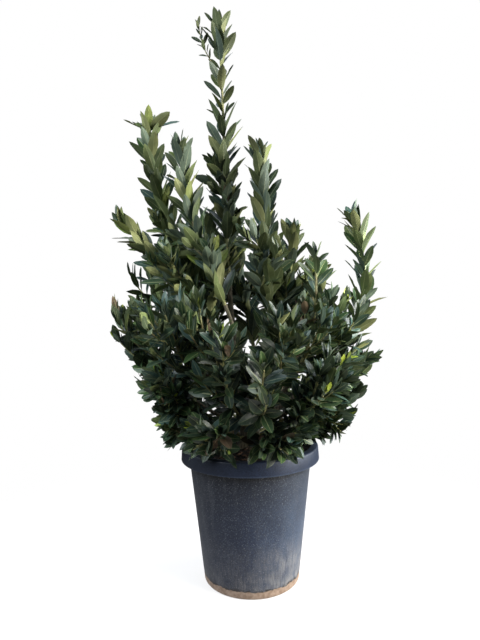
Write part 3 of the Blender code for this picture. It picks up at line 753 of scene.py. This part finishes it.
# ---------------------------------------------------------------- young stems and twigs
# The leafy upper part of each limb, its side twigs and their finer twigs: green-olive young wood, swollen at
# steps along the limbs' own stems. They branch from the limb by one rule and stay in the limb's own space.
CROWN_REACH = 0.369
CROWN_SHIFT = 0.008  # of its middle from the pot's, to the right
RIM_REACH = 0.238  # of the crown just above the pot's rim
REACH_GROWTH = 0.44  # of the crown's reach, for each metre above the rim
HANG_HEIGHT = 0.338  # of the lowest leaf tips, in front and behind
SIDE_HANG = 0.050  # how much higher they hang at the sides
PLANT_HEIGHT = 1.520
POT_CLEAR = 0.004
TWIG_SEED = 7
TWIG_STEP = 0.0045
TWIG_KNOTS = 0.12
TWIG_SUNK = 0.001  # how far its foot lies in the stem that bears it
TWIG_TAPER = 0.45
FINE_RADIUS = 0.7  # radius of a finer twig, of a twig's
TWIG_INSIDE = 0.014  # how far inside the crown's reach a twig ends
TWIG_ABOVE = 0.010  # and how far above its limb's tip at most, but on the lowest limbs
TWIG_SPREAD = (30, 46)  # degrees from its stem, from and to
TWIG_RISE = (0.9, 0.9, 0.6, 0.2)  # how far a twig turns up on its way, by tier
TWIG_FOLLOW = 0.8  # how far it turns along its stem
TWIG_GROWTH = 1.35  # of the lengths in the limbs' table
MORE_TWIGS = (1.5, 1.3, 1.5, 1.8)  # twigs on a leafy stem, for each in the limbs' table, by tier
BOUGH_TWIGS = (0.04, 0.78)  # shares of a leafy stem between which it has twigs
LEADER_TWIGS = (0.03, 0.42)
LEAFY_START = {"centre_leader": 0.27, "front_mid": 0.24, "back_leader": 0.30}  # limbs leafy on the bough too
SINGLE_SHOOTS = ("far_right_leader",)  # limbs without side twigs
LEADER_HEIGHT = 0.83  # of the tips of the limbs with bare tops
SPRAY_TWIGS = (0.14, 0.88)
FINE_TWIG = 0.60  # length of a finer twig, of the twig that bears it
TWIG_LEAVES = 0.92  # size of a twig's leaves
FINE_LEAVES = 0.80
SHORT_TWIG = 0.7  # every second twig, of the one before
TWIG_TRIES = 3
SHORTER_TRY = 0.85
NEXT_TRY = math.radians(75)
SPRIG_FOOT = 0.90  # share of the tall leader's line where its budded side sprig starts
SPRIG_TIP = (-0.119, -0.010, 1.472)
SPRIG_BOW = 0.012
SPRIG_LEAVES = 0.34  # size of its leaves
YOUNG_DARK = (0.130, 0.135, 0.048)
YOUNG_PALE = (0.330, 0.315, 0.130)
YOUNG_RUST = (0.170, 0.120, 0.060)

samples = [(name, point) for name, line in lines.items() for point in along_line(line, 30)]
owners = [name for name, _ in samples]
nearest_stem = KDTree(len(samples))
for sample_index, (_, sample) in enumerate(samples):
    nearest_stem.insert(sample, sample_index)
nearest_stem.balance()


def in_crown(point, inside=0.0):
    """Whether a point lies within the crown's reach, or so far inside it, and clear of the pot."""
    out = math.hypot(point.x - CROWN_SHIFT, point.y)
    reach = min(CROWN_REACH, RIM_REACH + REACH_GROWTH * max(0.0, point.z - POT_HEIGHT))
    lowest = HANG_HEIGHT + SIDE_HANG * max(0.0, 4 * abs(point.x) / max(out, 0.001) - 3)
    if out > reach - inside or not lowest < point.z < PLANT_HEIGHT:
        return False
    return math.hypot(point.x, point.y) > POT_RIM_RADIUS + POT_CLEAR or point.z > POT_HEIGHT + POT_CLEAR


def own(point, owner, inside=0.0):
    """Whether a point lies in the crown, in the owner's space."""
    return in_crown(point, inside) and owners[nearest_stem.find(point)[1]] == owner


def turned_out(along, angle, spread):
    """A direction at spread from along, turned by angle round it, angle 0 towards the ground."""
    level = along.cross(UP)
    level = level.normalized() if level.length > 0.05 else along.orthogonal().normalized()
    down = along.cross(level).normalized()
    radial = down * math.cos(angle) + level * math.sin(angle)
    return along * math.cos(spread) + radial * math.sin(spread), radial


def new_twig(limb, root, along, angle, length, chance):
    """Points of a twig that bends up along its stem, or None where it would leave its limb's space."""
    direction, _ = turned_out(along, angle, math.radians(chance.uniform(*TWIG_SPREAD)))
    third = length / 3
    upwards = along * TWIG_FOLLOW + UP * TWIG_RISE[limb.tier]
    low = root + direction * third
    high = low + (direction + upwards * 0.5).normalized() * third
    end = high + (direction + upwards).normalized() * third
    too_high = limb.tier < 3 and end.z > limb.tip[2] + TWIG_ABOVE
    if too_high or not all(own(point, limb.name, TWIG_INSIDE) for point in (low, high, end)):
        return None
    line = (root - direction * TWIG_SUNK, low, high, end)
    return along_line(line, 6)


def limb_sprays(limb, chance):
    """Every leafy stem of a limb, as (points, size): the limb's own, its twigs and their finer twigs."""
    start = limb.bare or SPRAY_LEAVES
    line = lines[limb.name]
    sprays = [(along_line(line, 16, LEAFY_START.get(limb.name, start)), 1.0)]
    low, high = BOUGH_TWIGS if limb.bare else SPRAY_TWIGS
    if limb.bare and limb.tip[2] > LEADER_HEIGHT:
        low, high = LEADER_TWIGS
    count = 0 if limb.name in SINGLE_SHOOTS else round(MORE_TWIGS[limb.tier] * limb.twigs)
    for index in range(count):
        share = start + (1 - start) * (low + (high - low) * (index + 0.5) / count)
        along = heading(line, share)
        length = TWIG_GROWTH * limb.twig_length * chance.uniform(0.80, 1.20)
        length *= 1.0 if index % 2 == 0 else SHORT_TWIG
        for attempt in range(TWIG_TRIES):
            angle = index * TURN + chance.uniform(0.9, 1.5) + attempt * NEXT_TRY
            twig = new_twig(limb, on_line(line, share), along, angle, length, chance)
            if twig:
                break
            length *= SHORTER_TRY
        if not twig:
            continue
        sprays.append((twig, TWIG_LEAVES))
        angle = chance.uniform(0, math.tau)
        fine = new_twig(limb, twig[3], (twig[4] - twig[2]).normalized(), angle, FINE_TWIG * length, chance)
        if fine:
            sprays.append((fine, FINE_LEAVES))
    return sprays


def budded_sprig():
    """The tall leader's one side sprig near its top, as five points."""
    foot = on_line(lines["tall_leader"], SPRIG_FOOT)
    tip = Vector(SPRIG_TIP)
    bow = Vector((SPRIG_BOW, 0.0, 0.0))
    return [foot.lerp(tip, index / 4) - bow * math.sin(math.pi * index / 4) for index in range(5)]


all_sprays = {}
twig_stretches = []
for limb in LIMBS:
    all_sprays[limb.name] = limb_sprays(limb, random.Random(f"{TWIG_SEED} {limb.name}"))
    if limb.name == "tall_leader":
        all_sprays[limb.name].append((budded_sprig(), SPRIG_LEAVES))
    twig_stretches.append(limb_stretch(limb, limb.bare, 1.0, TWIG_STEP, knots=TWIG_KNOTS))
    for points, size in all_sprays[limb.name][1:]:
        thick = TWIG_RADIUS * (1.0 if size >= TWIG_LEAVES else FINE_RADIUS)
        radii = [thick * (1 - TWIG_TAPER * index / (len(points) - 1)) for index in range(len(points))]
        twig_stretches.append((points, radii))


def young_bark():
    """Smooth green-olive young bark with rusty patches."""
    surface, shader, coordinates = new_surface("young_bark")
    patches = noise_of(coordinates, 30.0, 4.0)
    fine = noise_of(coordinates, 500.0, 3.0, stretch=(1.0, 1.0, 0.3))
    colour = mixed(ranged(fine, 0.35, 0.65), YOUNG_DARK, YOUNG_PALE)
    colour = mixed(ranged(patches, 0.50, 0.68, 0.0, 0.8), colour, YOUNG_RUST)
    set_inputs(shader, {"Base Color": colour, "Roughness": 0.55, "Normal": relief(fine, 0.3, 0.0005)})
    return surface


foliage_nodes = [limb.name + "_foliage" for limb in LIMBS]
placed("twigs", stem_mesh("twigs", twig_stretches, 1), [young_bark()], foliage_nodes)

# ---------------------------------------------------------------- leaves
# Leathery bay leaves, deep green and glossy above, paler olive below, with a yellow midrib. Each is a closed
# blade on a short stalk, folded along its midrib, arched and waved, and set spirally round its stem.
LEAF_LENGTH = 0.086
LEAF_WIDTH = 0.315  # of its length
TIER_LEAVES = ((0.85, 1.06), (0.82, 1.10), (0.80, 1.20), (0.76, 1.28))  # length, width off leaders, by tier
LEAF_THICKNESS = 0.006  # of its length
RIB_WIDTH = 0.028  # of its length
LEADER_STEP = 0.0066  # between leaves, along a leader
LEAF_STEP = (0.0110, 0.0110, 0.0113, 0.0116)  # and along any other stem, by tier
FIRST_LEAF = 0.3  # of a step, from the start of the leafy stem
FULL_TIP = 0.90  # height of the tips of the limbs whose own stem is leafy as a leader's
SPARSE_TOP = (1.20, 1.38)  # heights between which the tall leader has fewer leaves, and above which more
SPARSE_STEP = 1.60  # how much further apart they are there
SPARSE_SPREAD = 8  # how much wider they spread
SPARSE_SIZE = 0.82
FULL_STEP = 0.7  # how much closer they are above
LEADER_SPREAD = (16, 35)  # degrees from its stem, from and to
LEAF_SPREAD = (34, 54)
TIP_SPREAD = (8, 26)
TIP_REACH = 0.05  # length of the tip, where leaves grow smaller, closer and steeper
TIP_SMALLER = 0.20
TIP_CLOSER = 0.35
TOP_LEAVES = 6  # at a leader's very top
TWIG_TOP_LEAVES = 4  # and at a twig's
TOP_SPREAD = (10, 34)  # of the leaves at a leader's very top
TWIG_TOP_SPREAD = (6, 22)  # and at a twig's
FLARED_SPREAD = (24, 72)  # and where it flares
FLARED_SIZE = 1.3
FLARED_TOP = "left_leader"
LOW_SPREAD = 14  # how much wider a leader's lowest leaves spread
LEAF_TRIES = 4
LEAF_STRAY = 0.3  # radians, how far a leaf strays from its place in the spiral, either way
LEAF_ROLL = 58  # degrees, how far a stalk turns its blade, either way
TIER_DROOP = (0.0, 0.03, 0.14, 0.27)  # how far a leaf's direction turns to the ground, by tier
TIER_TURN = (0.25, 0.45, 0.70, 0.90)  # how far a leaf's upper face turns outwards and up, by tier
OUTWARD_RISE = 0.12
YOUNG_LEAF = (0.018, 0.032)  # length, from and to
YOUNG_BREADTH = 1.3
BUDDING_SHARES = (0.4, 0.05)  # of the limbs' own stems and of the twigs that end in young leaves
BUD_SHARE = 0.12  # of the twigs off the leaders that end in a whole bud of them
BUD_LEAVES = 5
BUD_STALK = 0.012
BUD_STEP = 0.003  # between its leaves
TIP_BUD_STEP = 0.004  # between the young leaves past a stem's tip
BUD_SPREAD = 0.4
FRESH_SHARE = 0.16  # of the leaves at a leader's tip that are fresh
FRESH_FROM = 0.2  # how near the tip they start, on the way from 0 to 1
OLD_SHARE = 0.06  # of the plain stems with old leaves
# Share of the length from the stalk's foot, and the half width there, as a share of the widest.
OUTLINE = (
    (0.00, 0.03),
    (0.05, 0.05),
    (0.17, 0.53),
    (0.34, 0.90),
    (0.54, 1.00),
    (0.73, 0.85),
    (0.90, 0.46),
    (1.00, 0.00),
)
BACK_REACH = 0.340  # leaves that would reach further back than this are shorter
LEAF_FORMS = 12
LEAF_SEED = 12
WAX_ROUGHNESS = 0.28
VEIN_SLANT = 0.28  # how far a side vein runs on to the tip on its way out
VEIN_CLOSENESS = 44.0
VEIN_STRENGTH = 0.10
LEAF_SHADES = (0.66, 1.34)  # how dark and how light a leaf can be
# Painted light and shade: leaves out at the sides are painted paler, and those high up painted darker.
SIDE_PAINTED_LIGHT = (0.04, 0.24, 0.78, 1.45)  # leaves out at the sides, from and to, are paler
TOP_PAINTED_SHADE = (0.90, 1.15, 1.0, 0.84)  # and those high up are darker

# A kind's upper colour, its underside and its midrib.
LEAF_KINDS = {
    "deep": ((0.015, 0.034, 0.012), (0.058, 0.080, 0.032), (0.185, 0.200, 0.095)),
    "shade": ((0.013, 0.027, 0.014), (0.046, 0.064, 0.032), (0.130, 0.148, 0.076)),
    "green": ((0.026, 0.054, 0.016), (0.098, 0.124, 0.046), (0.225, 0.245, 0.110)),
    # The blue kind's teal-grey upper face is partly a leaf tone of its own and partly painted sky sheen.
    "blue": ((0.028, 0.057, 0.045), (0.090, 0.124, 0.086), (0.200, 0.232, 0.145)),
    "olive": ((0.064, 0.088, 0.026), (0.182, 0.196, 0.080), (0.290, 0.300, 0.138)),
    "fresh": ((0.092, 0.130, 0.022), (0.165, 0.195, 0.054), (0.200, 0.230, 0.068)),
    "bronze": ((0.062, 0.040, 0.024), (0.135, 0.098, 0.060), (0.130, 0.100, 0.056)),
    "young": ((0.185, 0.228, 0.022), (0.270, 0.312, 0.055), (0.310, 0.340, 0.085)),
}
# How likely each kind is, by the sort of spray.
SPRAY_MIXES = {
    "plain": {"deep": 5, "shade": 1.5, "green": 3, "blue": 2.5, "olive": 0.4, "bronze": 0.1},
    "low": {"deep": 2, "shade": 5, "green": 2, "blue": 2, "olive": 0.1, "bronze": 0.2},
    "sunny": {"deep": 4, "green": 3, "blue": 3, "olive": 1.8, "fresh": 0.2},
    "top": {"deep": 2.6, "green": 3.4, "blue": 4, "olive": 2.2, "fresh": 0.3},
    "bright": {"deep": 1, "green": 2, "blue": 1, "olive": 6},
    "old": {"deep": 1, "shade": 3, "green": 1, "bronze": 3},
}
SUNNY_LIMBS = ("left_leader", "inner_left_leader", "centre_leader", "right_shoulder", "far_right_leader")
BRIGHT_LIMB = "far_left"  # its own stem is bright, and its first twigs are sunny
SUNNY_TWIGS = 5
UPPER_FINISH = {"roughness": 0.40, "gloss": 0.36, "wax": 0.07, "vein_relief": 0.07}
UNDER_FINISH = {"roughness": 0.60, "gloss": 0.30, "wax": 0.0, "vein_relief": 0.12}
RIB_FINISH = {"roughness": 0.50, "gloss": 0.40, "wax": 0.0, "vein_relief": 0.10}
Leaf = namedtuple("Leaf", "point direction side face length kind shade")


def leaf_form(chance):
    """One leaf of length 1 along +X from its stalk's foot at the origin, its upper face to +Z, as arrays."""
    arch = chance.uniform(0.05, 0.55)
    fold = math.tan(math.radians(chance.uniform(6, 22)))
    wave = chance.uniform(0.004, 0.016)
    phase = chance.uniform(0, math.tau)
    twist = chance.uniform(-0.8, 0.8)
    sweep = chance.uniform(-0.06, 0.06)
    bm = bmesh.new()
    spans = len(OUTLINE) - 1
    bmesh.ops.create_grid(bm, x_segments=spans, y_segments=3, size=0.5)
    for vertex in bm.verts:
        share, width = OUTLINE[round((vertex.co.x + 0.5) * spans)]
        row = round((vertex.co.y + 0.5) * 3)
        half = 0.5 * LEAF_WIDTH * width
        rib = min(0.5 * RIB_WIDTH * (1.15 - share), 0.5 * half)
        vertex.co = (share, (-half, -rib, rib, half)[row], 0.0)
    for face in bm.faces:
        middle = face.calc_center_median()
        face.material_index = 2 if abs(middle.y) < 1e-4 else 0
    upper = set(bm.verts)
    lower = bmesh.ops.duplicate(bm, geom=bm.verts[:] + bm.edges[:] + bm.faces[:])["geom"]
    lower_faces = [item for item in lower if isinstance(item, bmesh.types.BMFace)]
    bmesh.ops.reverse_faces(bm, faces=lower_faces)
    for face in lower_faces:
        face.material_index = 2 if face.material_index == 2 else 1
    margin = [vertex for vertex in bm.verts if vertex.is_boundary]
    inner_lower = [vertex for vertex in bm.verts if vertex not in upper and not vertex.is_boundary]
    for vertex in inner_lower:
        vertex.co.z -= LEAF_THICKNESS
    bmesh.ops.remove_doubles(bm, verts=margin, dist=1e-5)
    bmesh.ops.recalc_face_normals(bm, faces=bm.faces)
    layer = bm.loops.layers.uv.new("blade")
    for face in bm.faces:
        for loop in face.loops:
            share = loop.vert.co.x
            half = 0.5 * LEAF_WIDTH * np.interp(share, *zip(*OUTLINE))
            loop[layer].uv = (share, 0.5 + 0.5 * loop.vert.co.y / max(half, 1e-4))
    for vertex in bm.verts:
        x, y, z = vertex.co
        out = abs(y) / (0.5 * LEAF_WIDTH)
        y += sweep * x * x
        z += abs(y) * fold + wave * out * math.sin(2.5 * math.tau * x + phase + (1.3 if y > 0 else 0.0))
        turn = twist * x
        y, z = y * math.cos(turn) - z * math.sin(turn), y * math.sin(turn) + z * math.cos(turn)
        bend = arch * x
        vertex.co = (
            math.sin(bend) / arch + z * math.sin(bend),
            y,
            -(1 - math.cos(bend)) / arch + z * math.cos(bend),
        )
    bmesh.ops.triangulate(bm, faces=bm.faces)
    blade = np.array([[loop[layer].uv[:] for loop in face.loops] for face in bm.faces])
    return *arrays_of(bm), blade


def leaf_pattern():
    """A node group: the blade's own shade, its mottling and side veins, with leaves at the sides painted
    paler and those high up painted darker, as a colour and a height.
    """
    group = bpy.data.node_groups.new("leaf_pattern", "ShaderNodeTree")
    group.interface.new_socket(name="Colour", in_out="INPUT", socket_type="NodeSocketColor")
    group.interface.new_socket(name="Vein Colour", in_out="INPUT", socket_type="NodeSocketColor")
    group.interface.new_socket(name="Colour", in_out="OUTPUT", socket_type="NodeSocketColor")
    group.interface.new_socket(name="Height", in_out="OUTPUT", socket_type="NodeSocketFloat")
    given = group.nodes.new("NodeGroupInput")
    coordinates = new_node(group, "ShaderNodeTexCoord").outputs["Object"]
    blade = new_node(group, "ShaderNodeUVMap", uv_map="blade").outputs["UV"]
    off_rib = worked("ABSOLUTE", worked("SUBTRACT", axis(blade, "Y"), 0.5))
    margin = ranged(off_rib, 0.43, 0.50, 0.0, 0.55)
    slanted = worked("SUBTRACT", axis(blade, "X"), multiplied(off_rib, VEIN_SLANT))
    vein = ranged(worked("SINE", multiplied(slanted, VEIN_CLOSENESS)), 0.70, 1.0)
    shade = new_node(group, "ShaderNodeAttribute", attribute_name="leaf_shade").outputs["Fac"]
    brightness = ranged(shade, 0.0, 1.0, *LEAF_SHADES)
    mottle = ranged(noise_of(coordinates, 36.0, 2.0), 0.3, 0.7, 0.86, 1.14)
    # Painted light: leaves out at the sides are painted paler.
    painted_side_light = ranged(worked("ABSOLUTE", axis(coordinates, "X")), *SIDE_PAINTED_LIGHT)
    # Painted shade: leaves high up are painted darker.
    painted_top_shade = ranged(axis(coordinates, "Z"), *TOP_PAINTED_SHADE)
    tone = multiplied(multiplied(brightness, mottle), multiplied(painted_side_light, painted_top_shade))
    lines_on_blade = worked("MAXIMUM", multiplied(vein, VEIN_STRENGTH), margin)
    colour = mixed(lines_on_blade, scaled(given.outputs["Colour"], tone), given.outputs["Vein Colour"])
    new_node(group, "NodeGroupOutput", {"Colour": colour, "Height": vein})
    return group


pattern = leaf_pattern()


def leaf_surface(name, colour, vein_colour, roughness, gloss, wax, vein_relief):
    """One face of a blade, with its pattern, its own gloss and the wax on it."""
    surface, shader, coordinates = new_surface(name)
    given = {"Colour": (*colour, 1.0), "Vein Colour": (*vein_colour, 1.0)}
    marked = new_node(surface.node_tree, "ShaderNodeGroup", given, node_tree=pattern)
    worn = ranged(noise_of(coordinates, 48.0, 2.0), 0.3, 0.7, roughness - 0.07, roughness + 0.07)
    finish = {
        "Base Color": marked.outputs["Colour"],
        "Roughness": worn,
        "Specular IOR Level": gloss,
        "Coat Weight": wax,
        "Coat Roughness": WAX_ROUGHNESS,
        "Normal": relief(marked.outputs["Height"], vein_relief, 0.0004),
    }
    set_inputs(shader, finish)
    return surface


def spiral_leaves(limb, points, size, mix, budding):
    """Leaves set spirally along a stem through the points, smaller and closer to it towards its tip."""
    total = path_length(points)
    leader = size == 1.0 and limb.tip[2] > FULL_TIP
    step = LEADER_STEP if leader else LEAF_STEP[limb.tier]
    narrow, wide = LEADER_SPREAD if leader else LEAF_SPREAD
    reach = FIRST_LEAF * step
    travelled = 0.0
    angle = leaf_chance.uniform(0, math.tau)
    kinds = list(SPRAY_MIXES[mix])
    weights = list(SPRAY_MIXES[mix].values())
    full_length = LEAF_LENGTH * min(1.0, size + 0.1)
    length_share, breadth = (1.0, 1.0) if leader else TIER_LEAVES[limb.tier]
    for begin, end in zip(points, points[1:]):
        along = (end - begin).normalized()
        length = (end - begin).length
        while reach < travelled + length:
            point = begin + along * (reach - travelled)
            left = total - reach
            near_tip = max(0.0, 1 - left / TIP_REACH)
            thin_top = limb.name == "tall_leader" and SPARSE_TOP[0] < point.z < SPARSE_TOP[1]
            wider = LOW_SPREAD * left / total if leader else 0.0
            wider += SPARSE_SPREAD if thin_top else 0.0
            low = narrow + wider + (TIP_SPREAD[0] - narrow) * near_tip
            high = wide + wider + (TIP_SPREAD[1] - wide) * near_tip
            leaf_length = full_length * length_share * (SPARSE_SIZE if thin_top else 1)
            leaf_length *= (1 - TIP_SMALLER * near_tip) * leaf_chance.uniform(0.80, 1.10)
            kind = leaf_chance.choices(kinds, weights)[0]
            if leader and near_tip > FRESH_FROM and leaf_chance.random() < FRESH_SHARE:
                kind = "fresh"
            spread = math.radians(leaf_chance.uniform(low, high))
            add_leaf(limb, point, along, angle, spread, leaf_length, breadth, kind, leaf_chance)
            spacing = SPARSE_STEP if thin_top else 1
            spacing = FULL_STEP if point.z > SPARSE_TOP[1] else spacing
            reach += step * (1 - TIP_CLOSER * near_tip) * leaf_chance.uniform(0.85, 1.15) * spacing
            angle += TURN
        travelled += length
    tip = points[-1]
    along = (tip - points[-2]).normalized()
    flared = leader and limb.name == FLARED_TOP
    top_spread = FLARED_SPREAD if flared else TOP_SPREAD if leader else TWIG_TOP_SPREAD
    for index in range(TOP_LEAVES if leader else TWIG_TOP_LEAVES):
        spread = math.radians(leaf_chance.uniform(*top_spread))
        kind = leaf_chance.choices(kinds, weights)[0]
        leaf_length = full_length * leaf_chance.uniform(0.40, 0.85 if leader else 0.75)
        leaf_length *= FLARED_SIZE if flared else 1
        add_leaf(limb, tip, along, angle + index * TURN, spread, leaf_length, 1.0, kind, leaf_chance)
        if budding:
            young = leaf_chance.uniform(*YOUNG_LEAF)
            bud = tip + along * TIP_BUD_STEP * index
            turned_on = angle - index * TURN
            opened = 0.5 * spread + 0.2
            add_leaf(limb, bud, along, turned_on, opened, young, YOUNG_BREADTH, "young", leaf_chance)


def add_leaf(limb, point, along, angle, spread, length, breadth, kind, chance):
    """One leaf on a stem at point, turned on where there is no room, and at last left out."""
    for _ in range(LEAF_TRIES):
        strayed = angle + chance.uniform(-LEAF_STRAY, LEAF_STRAY)
        direction, radial = turned_out(along, strayed, spread)
        face = along * math.sin(spread) - radial * math.cos(spread)
        droop = TIER_DROOP[limb.tier] * chance.uniform(0.6, 1.4)
        direction = (direction - UP * droop).normalized()
        face = Matrix.Rotation(math.radians(chance.uniform(-LEAF_ROLL, LEAF_ROLL)), 3, direction) @ face
        outward = Vector((point.x, point.y, OUTWARD_RISE)).normalized()
        face = (face + (UP * 0.5 + outward) * TIER_TURN[limb.tier]).normalized()
        if own(point + direction * 0.5 * length, limb.name) and in_crown(point + direction * length):
            side = face.cross(direction).normalized()
            face = direction.cross(side)
            past_back = point.y + direction.y * length - BACK_REACH
            length -= past_back / direction.y if past_back > 0 else 0.0
            leaves.append(Leaf(point, direction, side * breadth, face, length, kind, chance.random()))
            return
        angle += NEXT_TRY


leaf_chance = random.Random(LEAF_SEED)
forms = [leaf_form(leaf_chance) for _ in range(LEAF_FORMS)]
leaves = []
for limb in LIMBS:
    for index, (points, size) in enumerate(all_sprays[limb.name]):
        if limb.name == BRIGHT_LIMB and index <= SUNNY_TWIGS:
            mix = "bright" if index == 0 else "sunny"
        elif index == 0 and limb.tip[2] > FULL_TIP:
            mix = "top"
        elif limb.name in SUNNY_LIMBS:
            mix = "sunny"
        elif limb.tier > 1:
            mix = "low"
        else:
            mix = "old" if leaf_chance.random() < OLD_SHARE else "plain"
        budding = leaf_chance.random() < BUDDING_SHARES[min(index, 1)]
        spiral_leaves(limb, points, size, mix, budding)

bud_chance = random.Random(LEAF_SEED)
for limb in LIMBS:
    for points, _ in all_sprays[limb.name][1:]:
        if limb.tier == 0 or bud_chance.random() > BUD_SHARE:
            continue
        along = (points[-1] - points[-2]).normalized()
        for index in range(BUD_LEAVES):
            young = bud_chance.uniform(*YOUNG_LEAF)
            bud = points[-1] + along * (BUD_STALK + BUD_STEP * index)
            add_leaf(limb, bud, along, index * TURN, BUD_SPREAD, young, YOUNG_BREADTH, "young", bud_chance)


def leaves_mesh(name, chosen):
    """The chosen leaves as one mesh, each a copy of one of the forms, with its own shade."""
    shells = []
    blades = []
    for leaf in chosen:
        corners, triangles, slots, blade = forms[leaf_chance.randrange(LEAF_FORMS)]
        across = leaf.side * leaf_chance.uniform(0.9, 1.1)
        turn = np.array((leaf.direction, across, leaf.face)) * leaf.length
        shells.append((corners @ turn + np.array(leaf.point), triangles, slots, leaf.shade))
        blades.append(blade)
    mesh = joined_shells(name, shells, "leaf_shade")
    layer = mesh.uv_layers.new(name="blade")
    layer.uv.foreach_set("vector", np.concatenate(blades).astype(np.float32).ravel())
    mesh.shade_smooth()
    mesh.set_sharp_from_angle(angle=math.radians(75))
    return mesh


for kind, (upper_colour, under_colour, rib_colour) in LEAF_KINDS.items():
    chosen = [leaf for leaf in leaves if leaf.kind == kind]
    surfaces = [
        leaf_surface(f"leaf_{kind}_upper", upper_colour, rib_colour, **UPPER_FINISH),
        leaf_surface(f"leaf_{kind}_under", under_colour, rib_colour, **UNDER_FINISH),
        leaf_surface(f"leaf_{kind}_rib", rib_colour, rib_colour, **RIB_FINISH),
    ]
    mesh = leaves_mesh(f"leaves_{kind}", chosen)
    placed(f"leaves_{kind}", mesh, surfaces, foliage_nodes)

# ---------------------------------------------------------------- stage
# A plain pale floor that fades out into a white surround, soft studio lights on both sides and behind, and
# the camera, at the height of the shrub's middle.
FLOOR_RADIUS = 2.4
FLOOR_COLOUR = (0.98, 0.91, 0.87)
LIT_POINT = Vector((0.0, 0.0, 0.65))
SKY_LOW = (0.05, 0.055, 0.06)
SKY_HIGH = (0.70, 0.84, 1.0)
SKY_STRENGTH = 0.58
CAMERA_PLACE = (-0.0215, -1.351, 0.713)
CAMERA_PITCH = -0.917  # degrees above level
CAMERA_ROLL = -0.9
FOCAL_SHARE = 500 / 640  # focal length, of the render's height


def floor_mesh():
    """A disc just under the pot's foot."""
    bm = bmesh.new()
    bmesh.ops.create_circle(bm, cap_ends=True, segments=96, radius=FLOOR_RADIUS)
    bmesh.ops.translate(bm, verts=bm.verts, vec=(0.0, 0.0, -0.0005))
    return mesh_of("floor", bm)


def floor_surface():
    """Pale and matt, clear from a little way off the pot."""
    surface, shader, coordinates = new_surface("pale_floor")
    distance = new_node(surface.node_tree, "ShaderNodeVectorMath", {0: coordinates}, operation="LENGTH")
    alpha = ranged(distance.outputs["Value"], 0.20, 1.1, 0.40, 0.0)
    set_inputs(shader, {"Base Color": (*FLOOR_COLOUR, 1.0), "Roughness": 0.9, "Alpha": alpha})
    return surface


floor = bpy.data.objects.new("floor", floor_mesh())
floor.data.materials.append(floor_surface())
bpy.context.scene.collection.objects.link(floor)


def soft_light(name, place, size, power, colour):
    """A square soft light that points at the shrub's middle."""
    data = bpy.data.lights.new(name, "AREA")
    data.size = size
    data.energy = power
    data.color = colour
    light = bpy.data.objects.new(name, data)
    light.location = place
    light.rotation_euler = (LIT_POINT - Vector(place)).to_track_quat("-Z", "Y").to_euler()
    light.visible_camera = False
    bpy.context.scene.collection.objects.link(light)


soft_light("key_right", (2.3, -0.9, 1.3), size=2.0, power=205.0, colour=(1.0, 0.98, 0.91))
soft_light("rim_right", (2.1, 0.3, 0.9), size=1.3, power=46.0, colour=(0.86, 0.93, 1.0))
soft_light("sky_left", (-2.1, -1.2, 2.3), size=2.2, power=115.0, colour=(0.86, 0.93, 1.0))
soft_light("sky_back", (0.3, 2.0, 2.6), size=2.2, power=26.0, colour=(0.92, 0.96, 1.0))

world = bpy.data.worlds.new("white_surround")
bpy.context.scene.world = world
world.use_nodes = True
sky = world.node_tree
sky.nodes.clear()
rise = axis(new_node(sky, "ShaderNodeTexCoord").outputs["Generated"], "Z")
glow = mixed(ranged(rise, -0.10, 0.55), SKY_LOW, SKY_HIGH)
seen = new_node(sky, "ShaderNodeBackground", {"Color": (1.0, 1.0, 1.0, 1.0), "Strength": 1.0})
lit = new_node(sky, "ShaderNodeBackground", {"Color": glow, "Strength": SKY_STRENGTH})
seen_here = new_node(sky, "ShaderNodeLightPath").outputs["Is Camera Ray"]
blend = new_node(sky, "ShaderNodeMixShader", {0: seen_here, 1: lit.outputs[0], 2: seen.outputs[0]})
new_node(sky, "ShaderNodeOutputWorld", {"Surface": blend.outputs[0]})
bpy.context.scene.view_settings.view_transform = "Standard"

lens = bpy.data.cameras.new("camera")
lens.sensor_fit = "VERTICAL"
lens.sensor_height = 36.0
lens.lens = 36.0 * FOCAL_SHARE
camera = bpy.data.objects.new("camera", lens)
pitch = Matrix.Rotation(math.radians(90 + CAMERA_PITCH), 4, "X")
roll = Matrix.Rotation(math.radians(CAMERA_ROLL), 4, "Z")
camera.matrix_world = Matrix.Translation(CAMERA_PLACE) @ pitch @ roll
bpy.context.scene.collection.objects.link(camera)
bpy.context.scene.camera = camera
